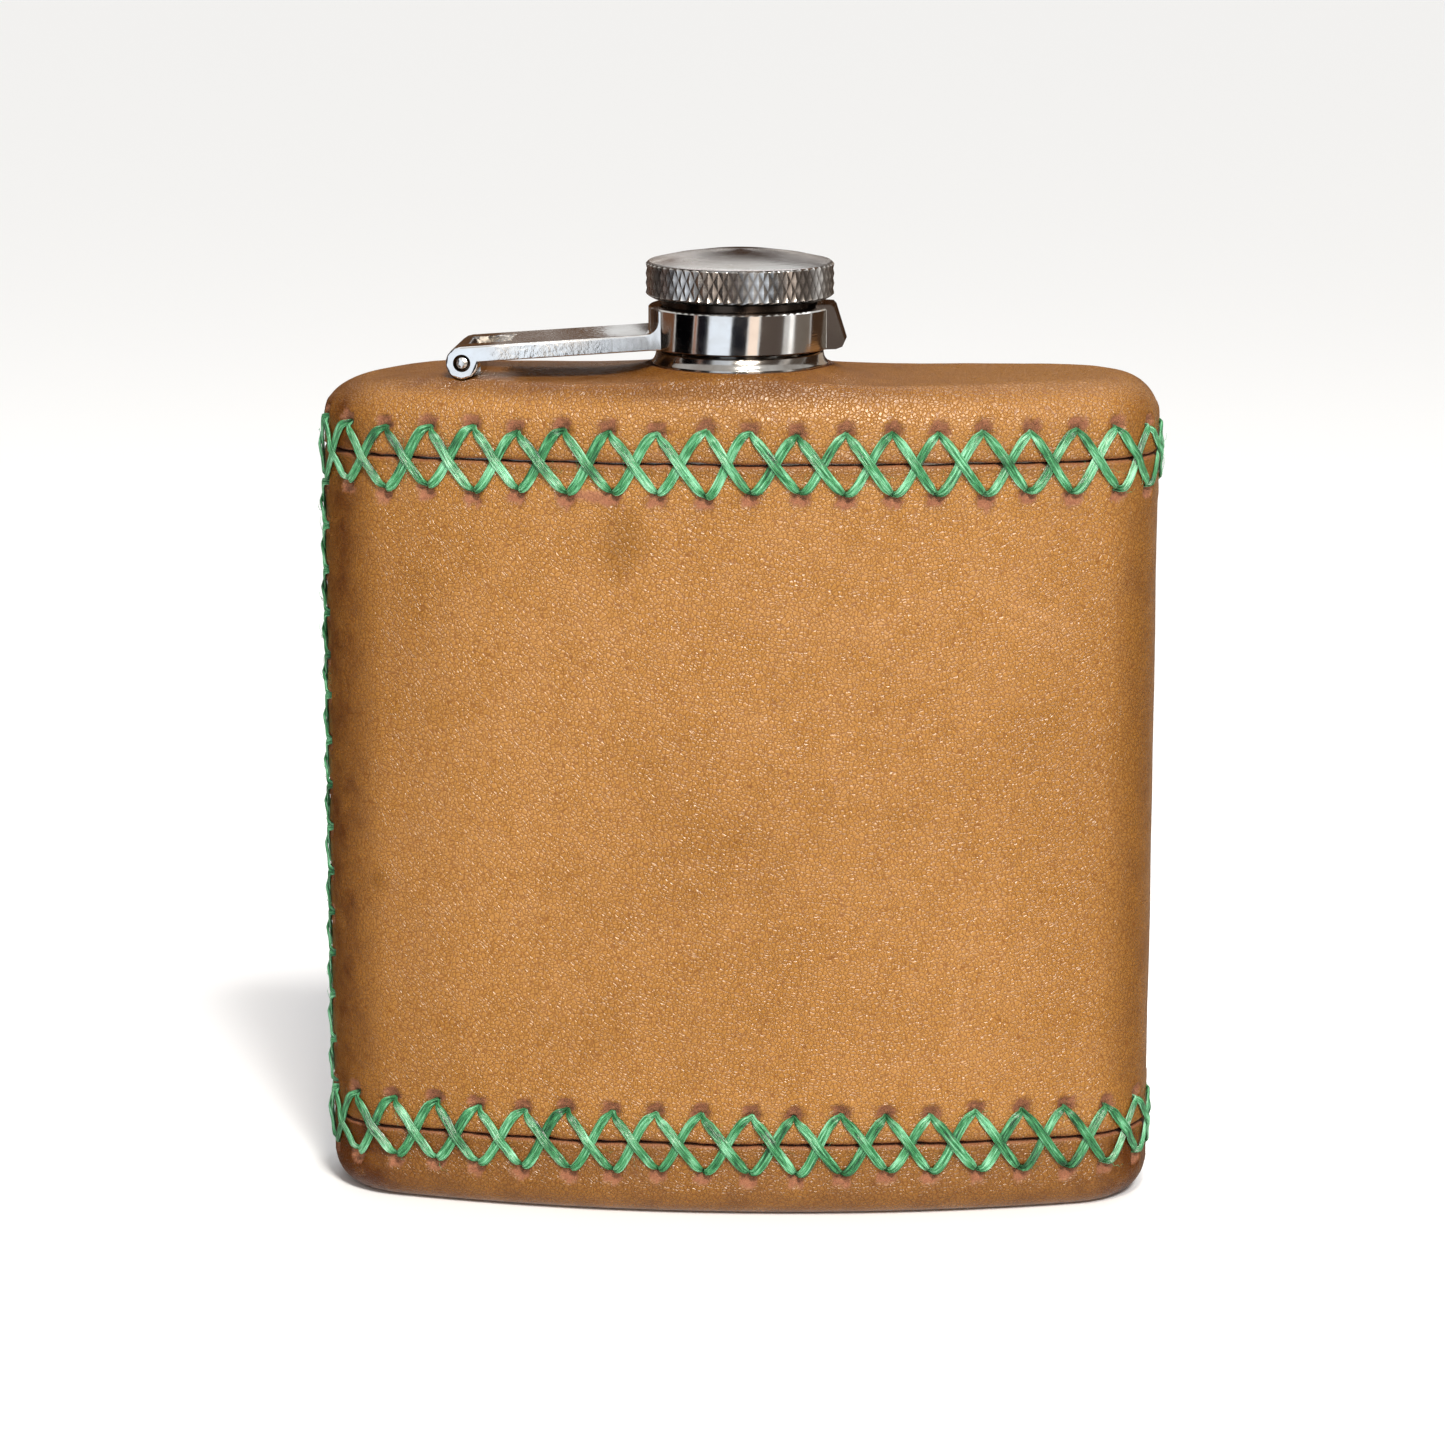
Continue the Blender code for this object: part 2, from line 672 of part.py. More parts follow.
def ribbon(path, normals, closed):
    """Flat thread along a path: its width lies on the leather and its corners are mitred."""
    rings = []
    count = len(path)
    for index, point in enumerate(path):
        before = path[(index - 1) % count]
        after = path[(index + 1) % count]
        if not closed and index == 0:
            before = point
        if not closed and index == count - 1:
            after = point
        comes = (point - before).normalized()
        goes = (after - point).normalized()
        normal = normals[index]
        tangent = (comes + goes).normalized()
        side = normal.cross(tangent).normalized()
        straight = max(abs(tangent.dot(goes)), abs(tangent.dot(comes)), 0.55)
        wide = side * threadWidth / 2 / straight
        thick = normal * threadThickness / 2
        rings.append([
            point - wide - thick, point + wide - thick, point + wide + thick, point - wide + thick,
        ])
    return rings


def roundSeamThread(name, seamHeight, first, thread, root):
    """One strand round the body: it goes over at one slant and under at the other."""
    length = wallLength()
    low = threadLift + threadThickness / 2
    path = []
    normals = []
    for index in range(stitchCount):
        up = (index + first) % 2 == 0
        for half in (0, 1):
            overHere = up and half == 1
            lift = low + (crossLift if overHere else 0.0)
            place, normal = onWall((index + half / 2) * length / stitchCount, lift)
            side = stitchHalfHeight if up else -stitchHalfHeight
            height = seamHeight + (side if half == 0 else 0.0)
            path.append(Vector((place.x, place.y, height)))
            normals.append(Vector((normal.x, normal.y, 0)))
    addSkin(name, ribbon(path, normals, True), thread, root)


def sideSeamThread(name, first, thread, root):
    """One strand up the side seam, over at one slant and under at the other."""
    low = threadLift + threadThickness / 2
    path = []
    normals = []
    for index in range(sideStitchCount * 2 + 1):
        row = index // 2
        up = (row + first) % 2 == 0
        crossing = index % 2 == 1
        lift = low + (crossLift if crossing and up else 0.0)
        side = 0.0 if crossing else (sideHalfWidth if up else -sideHalfWidth)
        place, normal = onWall(sideSeamDistance + side, lift)
        height = sideSeamStart + sideStitchPitch * index / 2
        path.append(Vector((place.x, place.y, height)))
        normals.append(Vector((normal.x, normal.y, 0)))
    addSkin(name, ribbon(path, normals, False), thread, root, closed=False)


sideSeamY = (frontEndY + backEndY) / 2 - centreShift


def findSideSeam():
    """Distance round the wall at which the side seam stands, on the hinge side."""
    corners = planPoints(0)
    distance = 0.0
    for index, (p, n) in enumerate(corners):
        after = corners[(index + 1) % len(corners)][0]
        if p.x < -endCentreX and p.y >= sideSeamY > after.y:
            return distance + (p.y - sideSeamY) / (p.y - after.y) * (after - p).length
        distance += (after - p).length
    return distance


sideSeamDistance = findSideSeam()
hingePlace = Vector((
    -armReach * math.cos(armTurn), neckY - armReach * math.sin(armTurn), pinHeight,
))


def main():
    clearScene()
    satinSteel = makeMaterial("satin stainless steel", (0.55, 0.54, 0.52), 0.32, 1.0)
    polishedSteel = makeMaterial("polished chromed steel", (0.78, 0.77, 0.75), 0.12, 1.0)
    tanLeather = makeMaterial("vegetable tanned leather", (0.45, 0.22, 0.06), 0.45, 0.0)
    greenThread = makeMaterial("green waxed thread", (0.10, 0.34, 0.13), 0.55, 0.0)
    sealRubber = makeMaterial("silicone rubber", (0.62, 0.60, 0.55), 0.6, 0.0)

    root = bpy.data.objects.new("flask_frame", None)
    hinge = bpy.data.objects.new("arm_hinge_axis", None)
    capAxis = bpy.data.objects.new("cap_axis", None)
    for axis in (root, hinge, capAxis):
        bpy.context.collection.objects.link(axis)
    hinge.parent = root
    hinge.location = hingePlace
    hinge.rotation_euler = (0, 0, armTurn)
    capAxis.parent = hinge
    capAxis.location = (armReach, 0, -pinHeight)

    makeSteelBody(satinSteel, root)
    makeNeck(satinSteel, root)
    makeCap(polishedSteel, sealRubber, capAxis)
    makeArm(polishedSteel, hinge)
    makeHingeBracket(polishedSteel, root)
    makeLeather(tanLeather, root)
    for label, height in (("top", topSeamHeight), ("bottom", bottomSeamHeight)):
        roundSeamThread(label + "_seam_thread_1", height, 0, greenThread, root)
        roundSeamThread(label + "_seam_thread_2", height, 1, greenThread, root)
    sideSeamThread("side_seam_thread_1", 0, greenThread, root)
    sideSeamThread("side_seam_thread_2", 1, greenThread, root)


main()
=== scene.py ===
import json
import math
import random

import bpy
import numpy as np
from mathutils import Matrix, Vector, noise


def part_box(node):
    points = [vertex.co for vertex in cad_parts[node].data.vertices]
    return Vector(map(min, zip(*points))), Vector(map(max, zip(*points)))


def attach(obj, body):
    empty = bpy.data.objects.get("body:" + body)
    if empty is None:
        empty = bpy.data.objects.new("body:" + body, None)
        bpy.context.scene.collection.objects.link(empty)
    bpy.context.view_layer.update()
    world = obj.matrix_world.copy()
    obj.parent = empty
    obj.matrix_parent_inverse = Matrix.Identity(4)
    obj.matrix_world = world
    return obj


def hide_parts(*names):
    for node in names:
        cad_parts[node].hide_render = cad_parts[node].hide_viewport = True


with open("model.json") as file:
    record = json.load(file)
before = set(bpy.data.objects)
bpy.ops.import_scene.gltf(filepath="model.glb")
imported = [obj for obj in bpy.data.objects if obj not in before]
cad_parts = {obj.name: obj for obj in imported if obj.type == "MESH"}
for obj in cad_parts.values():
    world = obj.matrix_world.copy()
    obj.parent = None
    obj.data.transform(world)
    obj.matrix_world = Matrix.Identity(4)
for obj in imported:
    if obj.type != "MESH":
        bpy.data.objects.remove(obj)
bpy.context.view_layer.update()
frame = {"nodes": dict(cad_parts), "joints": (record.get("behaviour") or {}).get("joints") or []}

random.seed(42)
rng = np.random.default_rng(7)
mm = 0.001
print("frame in, building the leather")


# small helpers

def colour(hexText, alpha=1.0):
    # sRGB hex to the linear numbers that the shader wants
    values = [int(hexText[i:i + 2], 16) / 255 for i in (1, 3, 5)]
    linear = [v / 12.92 if v <= 0.04045 else ((v + 0.055) / 1.055) ** 2.4 for v in values]
    return (*linear, alpha)


def feed(tree, node, links):
    # a node given as a source stands for its first output
    for key, source in links.items():
        if isinstance(source, bpy.types.Node):
            source = source.outputs[0]
        tree.links.new(source, node.inputs[key])


def addNode(tree, kind, settings=None, links=None):
    # settings go to the node or to its sockets, links feed its sockets
    node = tree.nodes.new("ShaderNode" + kind)
    for key, value in (settings or {}).items():
        if isinstance(key, int) or key in node.inputs:
            node.inputs[key].default_value = value
        else:
            setattr(node, key, value)
    feed(tree, node, links or {})
    return node


def newMaterial(name, values=None):
    material = bpy.data.materials.new(name)
    material.use_nodes = True
    tree = material.node_tree
    skin = tree.nodes["Principled BSDF"]
    for key, value in (values or {}).items():
        skin.inputs[key].default_value = value
    return material, tree, skin


def addObject(name, data):
    thing = bpy.data.objects.new(name, data)
    bpy.context.scene.collection.objects.link(thing)
    return thing


def smoothStep(value, low, high):
    share = np.clip((value - low) / (high - low), 0.0, 1.0)
    return share * share * (3 - 2 * share)


def wander(points, size, seed):
    # soft noise between -1 and 1 at each point; size is the width of a lump in metres
    shift = Vector((3.1, 1.7, 2.3)) * seed
    flat = points.reshape(-1, 3) / size
    found = np.array([noise.noise(Vector(p) + shift) for p in flat])
    return found.reshape(points.shape[:-1])


def showMesh(name, points, faces, material, body, nodes, sharpAngle=60):
    mesh = bpy.data.meshes.new(name)
    mesh.from_pydata(points.reshape(-1, 3).tolist(), [], faces)
    mesh.materials.append(material)
    mesh.shade_smooth()
    mesh.set_sharp_from_angle(angle=math.radians(sharpAngle))
    piece = addObject(name, mesh)
    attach(piece, body)
    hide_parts(*nodes)
    return piece


def paint(piece, name, values):
    # a number for each point that the leather's nodes read as wear, burnish or bare flesh
    layer = piece.data.attributes.new(name, "FLOAT", "POINT")
    layer.data.foreach_set("value", np.asarray(values, np.float32).ravel())


# the flask's outline, seen from above

wrapLow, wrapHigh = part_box("leather_wrap")
neckLow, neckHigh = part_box("neck_tube")
neckAxis = (neckLow + neckHigh) / 2
neckPlan = np.array([neckAxis.x, neckAxis.y])

cover = {
    "frontRadius": 145 * mm,   # convex front
    "backRadius": 165 * mm,    # hollow back, fits the hip
    "endRadius": 11 * mm,
    "middleDepth": 25 * mm,
    "endX": (wrapHigh.x - wrapLow.x) / 2 - 11 * mm,
    "thickness": 1.2 * mm,
    "topSeam": wrapHigh.z + 0.15 * mm,
    "bottomSeam": wrapLow.z - 0.15 * mm,
    "flatTop": 96.5 * mm,
    "shoulderDrop": 5.0 * mm,
    "shoulderEnds": 5.3 * mm,
    "shoulderMiddle": 1.6 * mm,
    "baseRise": 3.9 * mm,
    "baseInset": 3.2 * mm,
    "cornerDrop": 1.0 * mm,    # the hide has settled at the hinge end
    "neckRise": 1.5 * mm,
    "neckRiseReach": 3.0 * mm,
    "neckLiftStart": 10.35 * mm,
    "neckHole": 10.2 * mm,
    "borderGap": 0.06 * mm,
    "borderRound": 0.38 * mm,
}


def tracePlan(stepsPerArc=500):
    frontR, backR, endR, endX = (cover[k] for k in ("frontRadius", "backRadius", "endRadius", "endX"))
    frontY = frontR - cover["middleDepth"] / 2
    backY = backR + cover["middleDepth"] / 2
    frontEndY = frontY - math.sqrt((frontR - endR) ** 2 - endX ** 2)
    backEndY = backY - math.sqrt((backR + endR) ** 2 - endX ** 2)
    frontTurn = math.asin(endX / (frontR - endR))
    backTurn = math.asin(endX / (backR + endR))
    quarter = math.pi / 2
    arcs = [
        (0, frontY, frontR, -frontTurn, frontTurn, 1),
        (endX, frontEndY, endR, frontTurn, quarter, 1),
        (endX, backEndY, endR, quarter, 2 * quarter + backTurn, 1),
        (0, backY, backR, backTurn, -backTurn, -1),
        (-endX, backEndY, endR, 2 * quarter - backTurn, 3 * quarter, 1),
        (-endX, frontEndY, endR, 3 * quarter, 4 * quarter - frontTurn, 1),
    ]
    spots, normals = [], []
    for centreX, centreY, radius, start, end, outward in arcs:
        turns = np.linspace(start, end, stepsPerArc, endpoint=False)
        way = np.stack([np.sin(turns), -np.cos(turns)], axis=1)
        spots.append(np.array([centreX, centreY + neckAxis.y]) + way * radius)
        normals.append(way * outward)
    spots = np.concatenate(spots)
    normals = np.concatenate(normals)
    spots = np.concatenate([spots, spots[:1]])
    normals = np.concatenate([normals, normals[:1]])
    along = np.concatenate([[0], np.cumsum(np.linalg.norm(np.diff(spots, axis=0), axis=1))])
    return along, spots, normals, (frontEndY + backEndY) / 2 + neckAxis.y


planAlong, planSpots, planNormals, sideSeamY = tracePlan()
wallRound = planAlong[-1]
leftSide = (planSpots[:, 0] < -cover["endX"]) & (np.arange(len(planSpots)) > len(planSpots) / 2)
sideSeam = planAlong[leftSide][np.argmin(np.abs(planSpots[leftSide, 1] - sideSeamY))]


def onPlan(distance):
    # place and outward normal at a distance round the wall
    distance = np.asarray(distance) % wallRound
    spot = np.stack([np.interp(distance, planAlong, planSpots[:, i]) for i in (0, 1)], axis=-1)
    normal = np.stack([np.interp(distance, planAlong, planNormals[:, i]) for i in (0, 1)], axis=-1)
    return spot, normal / np.linalg.norm(normal, axis=-1, keepdims=True)


def roundGap(distance, other):
    # shortest way round between two distances
    return (distance - other + wallRound / 2) % wallRound - wallRound / 2


# stitch holes, punched by hand and so never quite even

stitch = {
    "count": 42,
    "half": 4.0 * mm,          # hole rows from the butt seam
    "threadHalf": 3.35 * mm,   # the floss goes in on the seam's side of each hole
    "sideRows": 15,
    "sideStart": 12.2 * mm,
    "sidePitch": 5.1 * mm,
    "sideHalf": 3.1 * mm,
    "sideThreadHalf": 2.7 * mm,
    "wobbleAlong": 0.22 * mm,
    "wobbleAcross": 0.16 * mm,
    "holeWide": 1.0 * mm,
    "holeTall": 0.86 * mm,
    "holeDeep": 0.5 * mm,
}


def punchRound(seamHeight, side):
    base = np.arange(stitch["count"]) * wallRound / stitch["count"]
    along = base + rng.normal(0, stitch["wobbleAlong"], stitch["count"])
    height = seamHeight + side * stitch["half"] + rng.normal(0, stitch["wobbleAcross"], stitch["count"])
    return np.stack([along % wallRound, height], axis=1)


def punchSide(side):
    rows = np.arange(stitch["sideRows"])
    height = stitch["sideStart"] + rows * stitch["sidePitch"] + rng.normal(0, 0.15 * mm, len(rows))
    along = sideSeam + side * stitch["sideHalf"] + rng.normal(0, stitch["wobbleAcross"], len(rows))
    return np.stack([along, height], axis=1)


# the punch is nearly square; sizes without mm are shares of the hole's own width and height
punch = {
    "squareness": 2.6,
    "ragged": 0.4,
    "raggedSize": 0.7 * mm,
    "reach": 4,
    "wallStart": 0.55,
    "wallEnd": 1.05,
    "lipHeight": 0.09 * mm,    # leather pushed up round the hole
    "lipAt": 1.3,
    "lipWidth": 0.25,
    "waxEnd": 1.6,
    "waxAmount": 0.5,
    "pitDepth": 0.75 * mm,     # the floss pulls its own dark pit at the seam's side of the hole
    "pitAt": 0.75,
    "pitWide": 0.75,
    "pitTall": 0.5,
    # painted shade in the pit where the floss goes into the hole
    "pitShade": 1.6,
}

holes = {
    "topUpper": punchRound(cover["topSeam"], 1),
    "topLower": punchRound(cover["topSeam"], -1),
    "bottomUpper": punchRound(cover["bottomSeam"], 1),
    "bottomLower": punchRound(cover["bottomSeam"], -1),
    "sideNear": punchSide(-1),
    "sideFar": punchSide(1),
}


def holeShape(along, height, rows, seamHeight=None):
    # how far each point is sunk by the holes near it, how bare it is there and how dark around it: wax round
    # the hole and painted shade in the floss's pit
    sink = np.zeros_like(along)
    bare = np.zeros_like(along)
    dark = np.zeros_like(along)
    ragged = wander(np.stack([along, height, along * 0], axis=-1), punch["raggedSize"], 21)
    power = punch["squareness"]
    for holeAlong, holeHeight in np.concatenate(rows):
        across = roundGap(along, holeAlong) / stitch["holeWide"]
        up = (height - holeHeight) / stitch["holeTall"]
        near = (np.abs(across) < punch["reach"]) & (np.abs(up) < punch["reach"])
        if not near.any():
            continue
        a, u, rag = across[near], up[near], ragged[near]
        away = (np.abs(a) ** power + np.abs(u) ** power) ** (1 / power) + punch["ragged"] * rag
        wall = 1 - smoothStep(away, punch["wallStart"], punch["wallEnd"])
        lip = np.exp(-((away - punch["lipAt"]) / punch["lipWidth"]) ** 2)
        sink[near] += punch["lipHeight"] * lip - stitch["holeDeep"] * wall * (1 + 0.5 * rag)
        bare[near] = np.maximum(bare[near], 1 - smoothStep(away, 0.9, 1.1))
        wax = punch["waxAmount"] * (1 - smoothStep(away, 1.0, punch["waxEnd"]))
        dark[near] = np.maximum(dark[near], wax)
        if seamHeight is not None:
            toSeam = np.sign(seamHeight - holeHeight) * punch["pitAt"]
            pit = np.exp(-(a / punch["pitWide"]) ** 2 - ((u - toSeam) / punch["pitTall"]) ** 2)
            sink[near] -= punch["pitDepth"] * pit
            dark[near] = np.maximum(dark[near], punch["pitShade"] * pit)
    return sink, bare, dark


# leather sheets as grids: rows up the sheet, columns round the body

grid = {"columns": 660, "fine": 0.3 * mm, "coarse": 0.75 * mm, "fineBand": 5.6 * mm, "innerStep": 12}


def rowsBetween(start, end, fineStart, fineEnd):
    # row heights, close together in the bands that carry stitches
    rows = [start]
    while rows[-1] < end - grid["fine"] / 2:
        inFine = rows[-1] - start < fineStart or end - rows[-1] < fineEnd
        step = grid["fine"] if inFine else grid["coarse"]
        rows.append(min(rows[-1] + step, end))
    return np.array(rows)


roundColumns = np.arange(grid["columns"]) * wallRound / grid["columns"]


def rowAt(flat, height):
    # a flat outline lifted to one height, or to a height for each point
    return np.concatenate([flat, np.broadcast_to(height, len(flat))[:, None]], axis=-1)


def neckLift(spot):
    away = np.linalg.norm(spot - neckPlan, axis=-1) - cover["neckLiftStart"]
    return cover["neckRise"] * np.exp(-np.maximum(away, 0) / cover["neckRiseReach"])


def gridNormals(points, closedRound):
    if closedRound:
        across = np.roll(points, -1, axis=1) - np.roll(points, 1, axis=1)
    else:
        across = np.gradient(points, axis=1)
    up = np.gradient(points, axis=0)
    normal = np.cross(across, up)
    return normal / np.maximum(np.linalg.norm(normal, axis=-1, keepdims=True), 1e-12)


def roundBorder(away):
    # a cut edge rubbed round: it falls away over the last half millimetre
    share = np.clip(1 - away / cover["borderRound"], 0, 1)
    return -cover["borderRound"] * (1 - np.sqrt(np.maximum(1 - share ** 2, 0)))


seamEdge = {
    "wave": 0.16 * mm, "waveSize": 5 * mm, "gape": 0.09 * mm, "gapeSize": 1.6 * mm, "waveFade": 0.9 * mm,
    "puff": 0.20 * mm, "puffRagged": 0.12 * mm, "puffSize": 2.2 * mm, "puffFade": 1.2 * mm,
    "topSeed": 11, "bottomSeed": 12,
}


def seamWave(along, fromSeam, seed, opening):
    # the two cut edges wander together along the seam and gape a little here and there
    line = np.stack([along, along * 0, along * 0 + seed], axis=-1)
    shift = seamEdge["wave"] * wander(line, seamEdge["waveSize"], seed)
    gape = 1 + wander(line, seamEdge["gapeSize"], seed + 5)
    return (shift + opening * seamEdge["gape"] * gape) * np.exp(-fromSeam / seamEdge["waveFade"])


def seamPuff(along, fromSeam, seed):
    # between two crosses the edge stands up, under a cross the floss holds it down
    pitch = wallRound / stitch["count"]
    beat = 0.5 + 0.5 * np.cos(math.tau * along / pitch)
    line = np.stack([along, fromSeam * 0, fromSeam * 0 + seed], axis=-1)
    ragged = wander(line, seamEdge["puffSize"], seed)
    puff = seamEdge["puff"] * beat + seamEdge["puffRagged"] * ragged
    return puff * np.exp(-fromSeam / seamEdge["puffFade"])


def cutEdge(away):
    # the flesh side shows along a cut edge
    return 0.75 * (1 - smoothStep(away, 0.0, 0.35 * mm))


def edgeWax(away, amount):
    # wax gathers beside a seam
    return amount * (1 - smoothStep(away, 0.3 * mm, 2.4 * mm))


def quadFaces(rows, columns, closedRound):
    faces = []
    last = columns if closedRound else columns - 1
    for row in range(rows - 1):
        low = row * columns
        high = low + columns
        for column in range(last):
            after = (column + 1) % columns
            faces.append((low + column, low + after, high + after, high + column))
    return faces


def sheetMesh(outer, normal, closedRound):
    # closes a sheet: outer face, a turned edge and a plainer inner face of every twelfth row
    rows = outer.shape[0]
    picked = [i for i in range(rows - 1, -1, -1) if i in (0, rows - 1) or i % grid["innerStep"] == 0]
    inner = outer[picked] - normal[picked] * cover["thickness"]
    points = np.concatenate([outer, inner])
    columns = outer.shape[1]
    faces = quadFaces(len(points), columns, closedRound)
    seam = (len(points) - 1) * columns
    for column in range(columns if closedRound else columns - 1):
        after = (column + 1) % columns
        faces.append((seam + column, seam + after, after, column))
    if not closedRound:
        count = len(points)
        faces.append([row * columns for row in range(count)][::-1])
        faces.append([row * columns + columns - 1 for row in range(count)])
    return points, faces, picked


def finishSheet(name, points, faces, values, picked, material, node):
    piece = showMesh(name, points, faces, material, "flask", [node])
    for key, value in values.items():
        paint(piece, key, np.concatenate([value, value[picked]]))
    return piece


# height and width of each size of lump, and its seed
lumps = [(0.10 * mm, 16 * mm, 1), (0.05 * mm, 6 * mm, 2), (0.018 * mm, 2.2 * mm, 3)]


def leatherUnevenness(points):
    # hand-stretched over the steel: slow swells and small lumps
    return sum(height * wander(points, size, seed) for height, size, seed in lumps)


def makeWrap(material):
    start = sideSeam + cover["borderGap"] - wallRound
    columns = np.linspace(start, sideSeam - cover["borderGap"], grid["columns"])
    lowEdge = cover["bottomSeam"] + cover["borderGap"]
    highEdge = cover["topSeam"] - cover["borderGap"]
    heights = rowsBetween(lowEdge, highEdge, grid["fineBand"], grid["fineBand"])
    along, height = np.meshgrid(columns, heights)
    spot = onPlan(along)[0]
    base = np.concatenate([spot, height[..., None]], axis=-1)
    normal = gridNormals(base, False)
    place = along % wallRound
    sink, bare, dark = holeShape(place, height, [holes["topLower"]], cover["topSeam"])
    lowSink, lowBare, lowDark = holeShape(place, height, [holes["bottomUpper"]], cover["bottomSeam"])
    sideSink, sideBare, sideDark = holeShape(place, height, [holes["sideNear"], holes["sideFar"]])
    fromTop = highEdge - height
    fromBottom = height - lowEdge
    fromSide = np.minimum(along - columns[0], columns[-1] - along)
    border = np.minimum(np.minimum(fromTop, fromBottom), fromSide)
    lift = sink + lowSink + sideSink + roundBorder(border) + leatherUnevenness(base)
    lift += seamPuff(along, fromTop, seamEdge["topSeed"])
    lift += seamPuff(along, fromBottom, seamEdge["bottomSeed"])
    # the ends of the wrap stand up a little along the side seam
    lift += 0.12 * mm * np.exp(-fromSide / (1.2 * mm)) * (1 + np.sin(height / (1.3 * mm)))
    flap = tornGrain(base)
    lift += torn["height"] * flap
    outer = base + normal * lift[..., None]
    outer[..., 2] += seamWave(along, fromTop, seamEdge["topSeed"], -1)
    outer[..., 2] += seamWave(along, fromBottom, seamEdge["bottomSeed"], 1)
    points, faces, picked = sheetMesh(outer, normal, False)
    values = {
        "bare": np.maximum.reduce([bare, lowBare, sideBare, flap, cutEdge(border)]),
        "dark": np.maximum.reduce([dark, lowDark, sideDark, edgeWax(border, 0.5), endBurnishAndShade(base)]),
        "shade": leatherMarks(base),
    }
    return finishSheet("leather_body_wrap", points, faces, values, picked, material, "leather_wrap")


# way out from the middle, start and end of the change in mm, strength; the hinge end is darkest: burnish and
# painted shade where the narrow ends turn from the light
endWearAndShade = [(-1, 26, 42, 0.3), (-1, 40, 46, 0.7), (1, 28, 42, 0.15), (1, 41, 46.5, 0.5)]


def endBurnishAndShade(points):
    # the narrow ends are darker than the middle: rubbed burnish and painted shade where they turn from the
    # light
    x = points[..., 0] / mm
    return sum(strength * smoothStep(way * x, start, end) for way, start, end, strength in endWearAndShade)


# x, z and half sizes in mm
torn = {"x": -16.4, "z": 84.0, "halfWide": 3.4, "halfTall": 0.75, "slope": 0.14, "height": 0.12 * mm}


def tornGrain(points):
    # a flap of grain torn up where one hole was punched too near the next
    x, y, z = (points[..., i] / mm for i in range(3))
    ragged = wander(points, 1.3 * mm, 31)
    across = x - torn["x"]
    up = z - torn["z"] + torn["slope"] * across
    away = np.hypot(across / torn["halfWide"], up / torn["halfTall"]) + 0.7 * ragged
    return (1 - smoothStep(away, 0.7, 1.1)) * (y < 0) * 0.9


topWearAndShade = {"start": 94.0 * mm, "full": 96.2 * mm, "hingeSide": 0.8, "tabSide": 0.45}


def topBurnishAndShade(points):
    # the top is darker: burnish from handling and painted shade, darkest from the hinge to the neck
    share = smoothStep(points[..., 2], topWearAndShade["start"], topWearAndShade["full"])
    fade = (topWearAndShade["hingeSide"] - topWearAndShade["tabSide"]) * smoothStep(points[..., 0], 5 * mm, 35 * mm)
    return share * (topWearAndShade["hingeSide"] - fade)


marks = [
    # x, z, half-width, half-height in mm, slope, strength: lighter above nought, darker below
    (-16.6, 84.2, 3.4, 0.7, 0.02, 0.9), (-12.8, 79.0, 2.6, 4.0, 0.1, -0.9),
    (33.5, 70.8, 4.2, 0.35, -0.45, 0.8), (31.8, 69.2, 3.0, 0.3, -0.5, 0.6),
    (-21.4, 26.0, 0.35, 2.6, 0.3, 0.7), (-19.8, 26.2, 0.35, 2.4, -0.35, 0.7),
    (25.6, 26.5, 0.3, 5.2, 0.0, 0.45), (-41.3, 38.4, 1.0, 1.2, 0.0, -0.8),
    (18.7, 18.0, 0.8, 0.8, 0.0, 0.8), (8.0, 60.0, 9.0, 0.35, 0.2, 0.22),
    (-30.0, 52.0, 0.3, 6.0, 0.25, -0.25), (4.0, 36.0, 6.0, 0.3, -0.15, 0.25),
]


def leatherMarks(points):
    # scuffs, scratches and stains picked up in use, on the front
    x, y, z = (points[..., i] / mm for i in range(3))
    total = np.zeros_like(x)
    for markX, markZ, halfWide, halfTall, slope, strength in marks:
        across, up = x - markX, z - markZ
        if halfWide >= halfTall:
            up = up - slope * across
        else:
            across = across - slope * up
        close = np.exp(-(across / halfWide) ** 2 - (up / halfTall) ** 2)
        total += strength * close * (y < 0)
    return total


def shoulderInset(spot):
    ends = np.minimum(np.abs(spot[..., 0]) / cover["endX"], 1) ** 2
    return cover["shoulderMiddle"] + (cover["shoulderEnds"] - cover["shoulderMiddle"]) * ends


armJoint = next(j for j in frame["joints"] if j["name"] == "arm_swing")
hingeAt = Vector(armJoint["pos_m"])
hingeWay = Vector(armJoint["axis"])
knuckle = {"radius": 2.02 * mm, "halfWidth": 6.45 * mm}


def knuckleGroove(points):
    # the hinge's knuckle lies in a pressed groove in the leather
    spot = points[..., :2] - np.array([hingeAt.x, hingeAt.y])
    across = np.abs(spot @ np.array([hingeWay.x, hingeWay.y]))
    along = spot @ np.array([-hingeWay.y, hingeWay.x])
    floorHeight = hingeAt.z - np.sqrt(np.maximum(knuckle["radius"] ** 2 - along ** 2, 0))
    inside = (np.abs(along) < knuckle["radius"]) & (floorHeight < points[..., 2])
    share = 1 - smoothStep(across, knuckle["halfWidth"], knuckle["halfWidth"] + 0.7 * mm)
    drop = np.where(inside, (floorHeight - points[..., 2]) * share, 0)
    near = np.exp(-(np.maximum(np.abs(along) - 2.2 * mm, 0) / (1.6 * mm)) ** 2)
    near *= 1 - smoothStep(across, knuckle["halfWidth"], knuckle["halfWidth"] + 3 * mm)
    return drop, near


